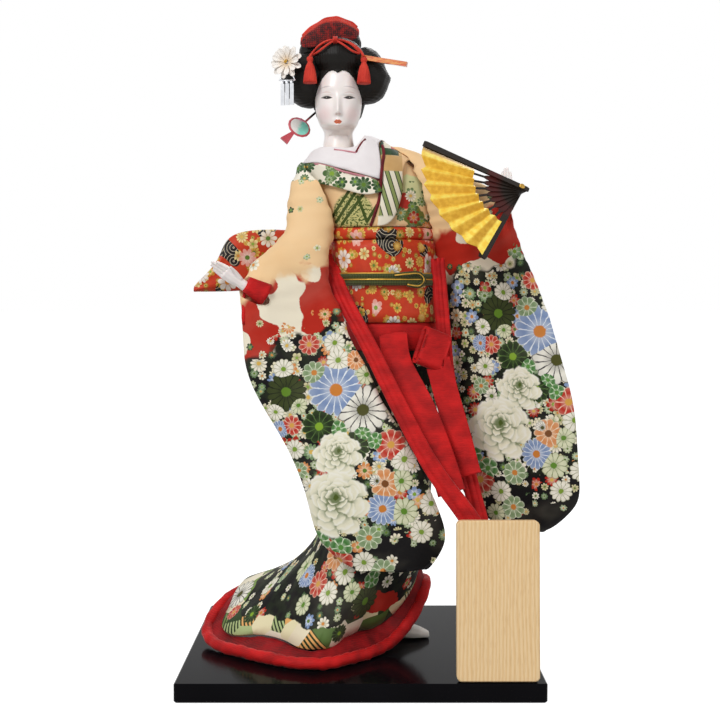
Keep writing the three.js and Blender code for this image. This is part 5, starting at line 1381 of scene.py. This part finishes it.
def fold_lengthwise(piece, count, depth):
    """Presses rounded folds along a hanging band, side by side across its width."""
    points = points_of(piece)
    heights = np.linspace(points[:, 2].min(), points[:, 2].max(), 25)
    near = [points[np.abs(points[:, 2] - height) < 6.0, 0] for height in heights]
    low = np.interp(points[:, 2], heights, [xs.min() for xs in near])
    high = np.interp(points[:, 2], heights, [xs.max() for xs in near])
    share = (points[:, 0] - low) / (high - low)
    swell(piece, lambda _: depth * (np.abs(np.sin(share * math.pi * count)) - 0.8))


sash = dressed("waist_sash", RED, 2)
wound_cloth(sash)
as_sheet(sash, 22.0)
for name, (held, width, count, depth) in SASH_BANDS.items():
    band = dressed(name, RED, 3)
    fold_lengthwise(band, count, depth)
    flat_cloth(band)
    as_sheet(band, width)

# Head and wig

FACE_X = -17.4
CHIN_Z = 418.0
NECK_AXIS = np.array(JOINTS["head_turn"]["pos_m"][:2]) / MM
CHIN_LIFT = 4.0
# The hairline: a peak in the middle, and an arch down to the temples
PEAK_HALF = 3.4
PEAK_DIP = 2.2
BROW_HEIGHT = 48.4
TEMPLE_DROP = 19.4
TEMPLE_REACH = 14.8
HAIR_ON_BROW = 0.9
STRAND_PITCH = 1.7
STRAND_DEPTH = 0.12
PAD_RADII = (25.0, 17.0, 21.0)
PAD_CENTRE = Vector((FACE_X, 5.0, 474.0))
# How far the wig's top is lowered, by x: its left wing and its knot
WING_DROOP = ((4, 0.0), (12.8, -4.0), (21.6, -12.0), (27, -14.0))
WING_NARROWER = 3.0
KNOT_LEAN = ((-52, -9.0), (-45.6, -7.0), (-40, -5.5), (-31, -2.3), (-19, 0.0))
KNOT_CLOTH_WIDER = 1.1
CLOTH_RIM = 1.0


def sculpted(points):
    """Nose, lips, lids, cheeks and chin, as soft rises on the front of the head."""
    x, z = points[:, 0] - FACE_X, points[:, 2] - CHIN_Z
    side = np.abs(x)
    nose = 2.9 * step(z, 34.0, 16.6) * step(z, 13.0, 15.6) * hill(x, 0.0, 2.3)
    nose += 0.7 * hill(side, 1.9, 1.1) * hill(z, 15.2, 1.5)
    lips = 0.9 * hill(x, 0.0, 2.6) * (hill(z, 10.2, 1.0) + 1.1 * hill(z, 7.6, 1.1))
    lids = hill(side, 8.6, 4.4) * (0.6 * hill(z, 30.0, 1.1) - 0.8 * hill(z, 28.4, 1.6))
    brow = 0.5 * hill(side, 9.0, 5.0) * hill(z, 34.8, 2.6)
    cheek = 0.8 * hill(side, 11.0, 6.0) * hill(z, 17.0, 7.0)
    chin = 0.9 * hill(x, 0.0, 5.0) * hill(z, 2.6, 3.0)
    amount = (nose + lips + lids + brow + cheek + chin) * step(-normals_of(head)[:, 1], 0.15, 0.6)
    return points - np.outer(amount, (0.0, 1.0, 0.0))


def necked(points):
    """Shortens the chin and widens the neck downwards."""
    z = points[:, 2] - CHIN_Z
    offset = points[:, :2] - NECK_AXIS
    reach = np.hypot(offset[:, 0], offset[:, 1])
    moved = points.copy()
    moved[:, 2] += CHIN_LIFT * step(z, 10.0, 0.0) * step(reach, 11.5, 15.0)
    wider = step(reach, 14.0, 11.5) * step(z, 6.0, -1.0) * (0.06 + 0.24 * step(z, 0.0, -12.0))
    moved[:, :2] += offset * wider[:, None]
    return moved


def hairline(side):
    """Height of the hairline above the chin, at a distance from the middle."""
    if side < PEAK_HALF:
        return BROW_HEIGHT - PEAK_DIP * (1 - side / PEAK_HALF)
    return BROW_HEIGHT - TEMPLE_DROP * ((side - PEAK_HALF) / TEMPLE_REACH) ** 2.2


def hair_on_brow():
    """The front of the head above the hairline, as a shell of hair."""

    def covered(face):
        middle = face.calc_center_median() / MM
        return middle.z - CHIN_Z > hairline(abs(middle.x - FACE_X)) and face.normal.y < 0.3

    bm = bmesh.new()
    bm.from_mesh(head.data)
    bmesh.ops.delete(bm, geom=[face for face in bm.faces if not covered(face)], context="FACES")
    bmesh.ops.solidify(bm, geom=bm.faces[:], thickness=-HAIR_ON_BROW * MM)
    return bm


def hair_pad():
    """The pad inside the wig, which closes the gaps among its rolls."""
    bm = bmesh.new()
    bmesh.ops.create_icosphere(bm, subdivisions=3, radius=MM)
    bmesh.ops.scale(bm, vec=PAD_RADII, verts=bm.verts)
    bmesh.ops.translate(bm, vec=PAD_CENTRE * MM, verts=bm.verts)
    return bm


def comb_lines(points):
    """Strands run back from the brow, and sideways over the wings: places across and along them."""
    side = step(np.abs(points[:, 0] - FACE_X), 16.0, 22.0)
    across = (1 - side) * points[:, 0] + side * points[:, 2]
    along = (1 - side) * points[:, 2] + side * points[:, 0]
    return across, along


def strands(points):
    phase = comb_lines(points)[0] * TURN / STRAND_PITCH + 1.5 * ripple(points, 14.0, 31)
    return 0.3 + STRAND_DEPTH * np.sin(phase)


def settled(points):
    """Lets the wig's left wing droop outwards, and leans the knot to the right side."""
    x, z = points[:, 0], points[:, 2]
    moved = points.copy()
    moved[:, 2] += np.interp(x, *zip(*WING_DROOP)) * step(z, 458.0, 486.0)
    moved[:, 2] += np.interp(x, *zip(*KNOT_LEAN)) * step(z, 478.0, 494.0)
    moved[:, 0] -= WING_NARROWER * step(x, 15.0, 27.0)
    return moved


def make_knot_cloth():
    middle = node_middle("topknot_cloth").x

    def widened(points):
        x = middle + (points[:, 0] - middle) * KNOT_CLOTH_WIDER
        return np.column_stack([x, points[:, 1] - 0.6, points[:, 2]])

    cloth = dressed("topknot_cloth", dappled_cloth(), 3, "head")
    reshape(cloth, widened)
    reshape(cloth, settled)
    points = points_of(cloth)
    columns = np.linspace(points[:, 0].min() + 0.6, points[:, 0].max() - 0.6, 25)
    near = [points[np.abs(points[:, 0] - x) < 1.2] for x in columns]
    crest = [column[column[:, 2].argmax()] for column in near]
    drop = np.interp(points[:, 0], columns, [point[2] for point in crest]) - points[:, 2]
    note(cloth, "cloth", points[:, 0], points[:, 2], drop)
    flat_cloth(add_piece("topknot_cloth_rim", tube(curve_through(crest, 3), CLOTH_RIM), "head", SCARLET))


head = dressed("head", SKIN, 3, "head")
reshape(head, sculpted)
reshape(head, necked)
relax(head, lambda point: CHIN_Z - 14.0 < point.z < CHIN_Z + 5.0, 14)
face = points_of(head)
note(head, "face", face[:, 0] - FACE_X, face[:, 2] - CHIN_Z, -normals_of(head)[:, 1])

wig = add_piece("wig", joined(merged(*HAIR_NODES), hair_on_brow(), hair_pad()), "head", hair(), HAIR_NODES)
remesh(wig, 0.7, 9)
reshape(wig, settled)
swell(wig, strands)
note(wig, "comb", *comb_lines(points_of(wig)), points_of(wig)[:, 1])
make_knot_cloth()

# Tassels

TASSEL_THREADS = 22
# A tassel's outline: reach as a share of its radius, and drop as a share of its height
TASSEL_OUTLINE = (
    (0.05, 0.0), (0.36, 0.0), (0.47, 0.06), (0.45, 0.14), (0.33, 0.19), (0.4, 0.24), (0.62, 0.36),
    (0.8, 0.55), (0.92, 0.75), (0.99, 0.93), (0.97, 1.0), (0.6, 0.985), (0.05, 0.98),
)


def make_tassel(name):
    low, high = node_box(name)
    turns = [TURN * k / (TASSEL_THREADS * 4) for k in range(TASSEL_THREADS * 4)]
    rows = []
    for reach, drop in TASSEL_OUTLINE:
        depth = 0.07 * step(drop, 0.2, 0.4) * min(1.0, reach * 2)
        row = []
        for turn in turns:
            r = (high.x - low.x) / 2 * reach * (1 - depth + depth * math.cos(turn * TASSEL_THREADS))
            offset = Vector((r * math.cos(turn), r * math.sin(turn), -drop * (high.z - low.z)))
            row.append(tassel_top(name) + offset)
        rows.append(row)
    flat_cloth(add_piece(name, grid(rows, closed=True), name, SCARLET, [name]), (0, 0, 1), (1, 0, 0))


for name in TASSELS:
    make_tassel(name)

# Hairpins

FLOWER_FACE = Vector(JOINTS["flower_hairpin_pull"]["axis"]).normalized()
FLOWER_CENTRE = Vector((-56.8, -20.0, 473.0))
FLOWER_SIDE = FLOWER_FACE.cross(UP).normalized()
FLOWER_UP = FLOWER_SIDE.cross(FLOWER_FACE)
# Rounds of petals: count, length, lift at the tip and first lift
PETAL_ROUNDS = ((9, 11.4, 0.6, 0.0), (9, 9.6, 3.2, 0.9))
PETAL_HALF_WIDTH = 2.3
PETAL_TIP_FROM = 0.7
PETAL_ROOT = 1.6
PETAL_STEPS = 12
PETAL_EDGE_RISE = 1.1
PETAL_THICKNESS = 0.35
STAMENS = 14
STAMEN_TURN = 2.4
PIN_LENGTH = 30.0
PIN_RADIUS = 0.9
RAIL_RADIUS = 0.5
ARM_RADIUS = 0.45
RAIL_DEPTH = 0.7
DISC_CENTRE = Vector((-48.5, 0.9, 426.3))


def around_flower(turn):
    return FLOWER_SIDE * math.cos(turn) + FLOWER_UP * math.sin(turn)


def petal_rows(length, tip_lift, root_lift, turn):
    """A petal folded along its middle, whose edges stand up."""
    out = around_flower(turn)
    across = FLOWER_FACE.cross(out)
    rows = []
    for share in (i / PETAL_STEPS for i in range(PETAL_STEPS + 1)):
        tip = max(0.0, share - PETAL_TIP_FROM) / (1.02 - PETAL_TIP_FROM)
        narrowing = min(1.0, 0.3 + share) * math.sqrt(1 - tip ** 2)
        middle = FLOWER_CENTRE + out * (PETAL_ROOT + length * share)
        lift = root_lift + tip_lift * share ** 1.6
        row = []
        for side in (k / 3 for k in range(-3, 4)):
            raised = lift + PETAL_EDGE_RISE * abs(side) * narrowing
            row.append(middle + across * (PETAL_HALF_WIDTH * narrowing * side) + FLOWER_FACE * raised)
        rows.append(row)
    return rows


def make_petals():
    made = []
    for number, (count, *shape) in enumerate(PETAL_ROUNDS):
        made += [grid(petal_rows(*shape, TURN * (k + number / 2) / count)) for k in range(count)]
    flower = add_piece("flower_hairpin", joined(*made), "flower_hairpin", petal_silk(), ["flower_hairpin"])
    thicken(flower, PETAL_THICKNESS)
    offset = points_of(flower) - np.array(FLOWER_CENTRE)
    across, upward, lift = (offset @ np.array(axis) for axis in (FLOWER_SIDE, FLOWER_UP, FLOWER_FACE))
    reach = np.hypot(across, upward)
    wedge = TURN / PETAL_ROUNDS[0][0] / 2
    side = reach * np.sin((np.arctan2(upward, across) + wedge / 2) % wedge - wedge / 2)
    note(flower, "cloth", reach, side, lift)


def make_stamens():
    root = FLOWER_CENTRE + FLOWER_FACE * 0.6
    stamens = []
    for k in range(STAMENS):
        aim = around_flower(k * STAMEN_TURN) * (0.3 + 0.7 * (k % 2))
        way = [root, root + aim * 0.5 + FLOWER_FACE * 1.4, root + aim + FLOWER_FACE * 2.3]
        stamens.append(tube(way, lambda t: 0.3 + 0.28 * t, 6))
    add_piece("flower_heart", joined(*stamens), "flower_hairpin", metal("gold_thread", "flower_gold"))


def make_flower_pin(material):
    """The pin, the rail that the strips hang on, and the rail's two arms."""
    level = node_box("flower_strip_1")[1].z - RAIL_DEPTH
    ends = []
    for number, way in ((1, -1), (3, 1)):
        middle = node_middle(f"flower_strip_{number}")
        ends.append(Vector((middle.x + way * 2.6, middle.y + way * 0.9, level)))
    back = FLOWER_CENTRE - FLOWER_FACE * 1.2
    pin = [back] + [FLOWER_CENTRE - FLOWER_FACE * (PIN_LENGTH * share) for share in (0.7, 1.0)]
    arms = [tube([end, (end + back) / 2 - UP * 1.5, back], ARM_RADIUS) for end in ends]
    parts = joined(tube(pin, lambda t: PIN_RADIUS - 0.5 * t ** 4), tube(ends, RAIL_RADIUS), *arms)
    add_piece("flower_pin", parts, "flower_hairpin", material)


SILVER = metal("silver_strip")
make_petals()
make_stamens()
make_flower_pin(SILVER)
dress(SILVER, "flower_strip_1", "flower_strip_2", "flower_strip_3")
dress(pearl_disc(DISC_CENTRE), "disc_hairpin")
dress(orange_lacquer(), "bar_hairpin")

# Fan

FAN_PIVOT = Vector(JOINTS["fan_fold"]["pos_m"]) / MM
FAN_AXIS = Vector(JOINTS["fan_fold"]["axis"])
FAN_START = Vector((-0.915, 0.0, 0.4035))
FAN_SIDE = (-FAN_AXIS).cross(FAN_START)
FAN_SPREAD = 83.0
FAN_RIBS = 7
FAN_LAYER = 0.95
RIB_STEP = FAN_SPREAD / (FAN_RIBS + 1)
GUARDS = ["fan_guard_front", "fan_guard_rear"]
LEAF_EDGE = 0.4
LEAF_INNER = 38.0
LEAF_OUTER = 80.0
VALLEY_RADIUS = 75.0
CREST_LEVEL = -5.66
VALLEY_LEVEL = -1.99
REAR_LEVEL = 3.0
PANEL_STEPS = 4
LEAF_ROWS = 9
LEAF_THICKNESS = 0.3
FOLD_ANGLE = math.radians(15)


def leaf_folds():
    """The leaf's folds, with a crest over each rib: angle in degrees, level along the rivet, outer radius."""
    folds = [(LEAF_EDGE, VALLEY_LEVEL + 0.6, LEAF_OUTER)]
    for rib in range(1, FAN_RIBS + 1):
        folds.append((rib * RIB_STEP, CREST_LEVEL + FAN_LAYER * rib, LEAF_OUTER))
        valley_level = min(VALLEY_LEVEL + FAN_LAYER * rib, REAR_LEVEL)
        folds.append(((rib + 0.5) * RIB_STEP, valley_level, VALLEY_RADIUS))
    return np.array(folds + [(FAN_SPREAD - LEAF_EDGE, REAR_LEVEL - 0.3, LEAF_OUTER)])


def make_leaf():
    """The pleated leaf."""
    folds = leaf_folds()
    lines = [folds[0]]
    for first, last in zip(folds, folds[1:]):
        lines += [first + (last - first) * k / PANEL_STEPS for k in range(1, PANEL_STEPS + 1)]
    rows = []
    for angle, level, outer in lines:
        turn = math.radians(angle)
        out = FAN_START * math.cos(turn) + FAN_SIDE * math.sin(turn)
        radii = np.linspace(LEAF_INNER, outer, LEAF_ROWS)
        rows.append([FAN_PIVOT + out * radius + FAN_AXIS * level for radius in radii])
    leaf = mesh_object("fan_leaf", grid(rows), gold_paper())
    thicken(leaf, LEAF_THICKNESS)
    leaf.data.set_sharp_from_angle(angle=FOLD_ANGLE)
    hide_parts("fan_leaf")
    points = points_of(leaf)
    offset = points - np.array(FAN_PIVOT)
    turn = np.degrees(np.arctan2(offset @ np.array(FAN_SIDE), offset @ np.array(FAN_START)))
    # Side of each pleat: 1 on the facets painted as lit gold and -1 on those painted as shaded, as painted
    # light and shade
    pleat = np.clip(-4 * np.sin(turn / RIB_STEP * TURN), -1, 1)
    note(leaf, "cloth", points[:, 0], points[:, 2], pleat)
    as_sheet(leaf, LEAF_OUTER - LEAF_INNER)
    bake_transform(leaf)


dress(black_bamboo(FAN_PIVOT), *GUARDS, *[f"fan_rib_{i}" for i in range(1, FAN_RIBS + 1)])
dress(metal("brass"), "fan_rivet")
make_leaf()

# Floor, backdrop and light

FLOOR_GLOW = 0.84
FLOOR_SIZE = 20.0
FLOOR_DEPTH = 0.0005
WORLD_LEVEL = 0.38
LAMP_AIM = Vector((0.0, 0.0, 0.26))
# Lamps: place, size and power
LAMPS = {
    "key": ((-0.9, -1.5, 1.5), 0.7, 24.0),
    "fill": ((1.2, -1.1, 0.9), 1.0, 5.0),
    "rim": ((0.3, 1.2, 1.3), 0.8, 8.0),
}


def background_rays(nodes):
    """1 where a ray shows the background: from the camera, or by way of a glossy or clear surface."""
    rays = ("Is Camera Ray", "Is Glossy Ray", "Is Transmission Ray")
    camera_ray, glossy_ray, clear_ray = nodes.add("LightPath", output=rays)
    return camera_ray.math("MAXIMUM", glossy_ray).math("MAXIMUM", clear_ray)


def make_floor():
    paint = Paint("floor", 0.9, Emission_Color=(1.0, 1.0, 1.0, 1.0))
    paint.put(paint.shader["Emission Strength"], background_rays(paint) * FLOOR_GLOW)
    bm = bmesh.new()
    bmesh.ops.create_grid(bm, x_segments=2, y_segments=2, size=FLOOR_SIZE)
    floor = mesh_object("floor", bm, paint.done(paint.place().noise(300.0, 3.0).mix("b4b4b4", "bcbcbc")))
    floor.location.z = -FLOOR_DEPTH
    floor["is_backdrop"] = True


def make_world():
    world = bpy.data.worlds.new("studio")
    SCENE.world = world
    world.use_nodes = True
    nodes = Nodes(world.node_tree)
    background = nodes.tree.nodes["Background"].inputs
    nodes.put(background["Color"], "ffffff")
    nodes.put(background["Strength"], background_rays(nodes) * (1.0 - WORLD_LEVEL) + WORLD_LEVEL)


def add_lamp(name, place, size, power):
    data = bpy.data.lights.new(name, "AREA")
    data.shape = "DISK"
    data.size = size
    data.energy = power
    lamp = add_object(name, data)
    lamp.location = place
    lamp.rotation_euler = (LAMP_AIM - Vector(place)).to_track_quat("-Z", "Y").to_euler()


make_floor()
make_world()
for name, lamp in LAMPS.items():
    add_lamp(name, *lamp)

# The record's material slot of each new finish
SLOTS = {
    "core_cloth_gap_shade": "stuffing", "tabi_cotton": "tabi", "doll_skin": "skin", "skirt_silk": "printed_silk",
    "sleeve_right_silk": "printed_silk", "sleeve_left_silk": "printed_silk", "bodice_silk": "peach_silk",
    "block_silk": "printed_silk", "leafy_silk": "printed_silk", "white_silk": "white_silk",
    "brocade": "brocade", "olive_braid": "green_cord", "gold_thread": "gold_paper", "flower_gold": "brass",
    "red_crepe": "red_crepe", "scarlet_crepe": "red_crepe", "crimson_crepe": "crimson",
    "maroon_piping": "crimson", "pink_piping": "crimson", "wig_hair": "hair", "kanoko": "red_crepe",
    "petal_silk": "petal_silk", "silver_strip": "silver", "gold_paper": "gold_paper",
}
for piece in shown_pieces():
    if piece not in NODES.values():
        SLOTS[piece.data.materials[0].name.split(".")[0]]
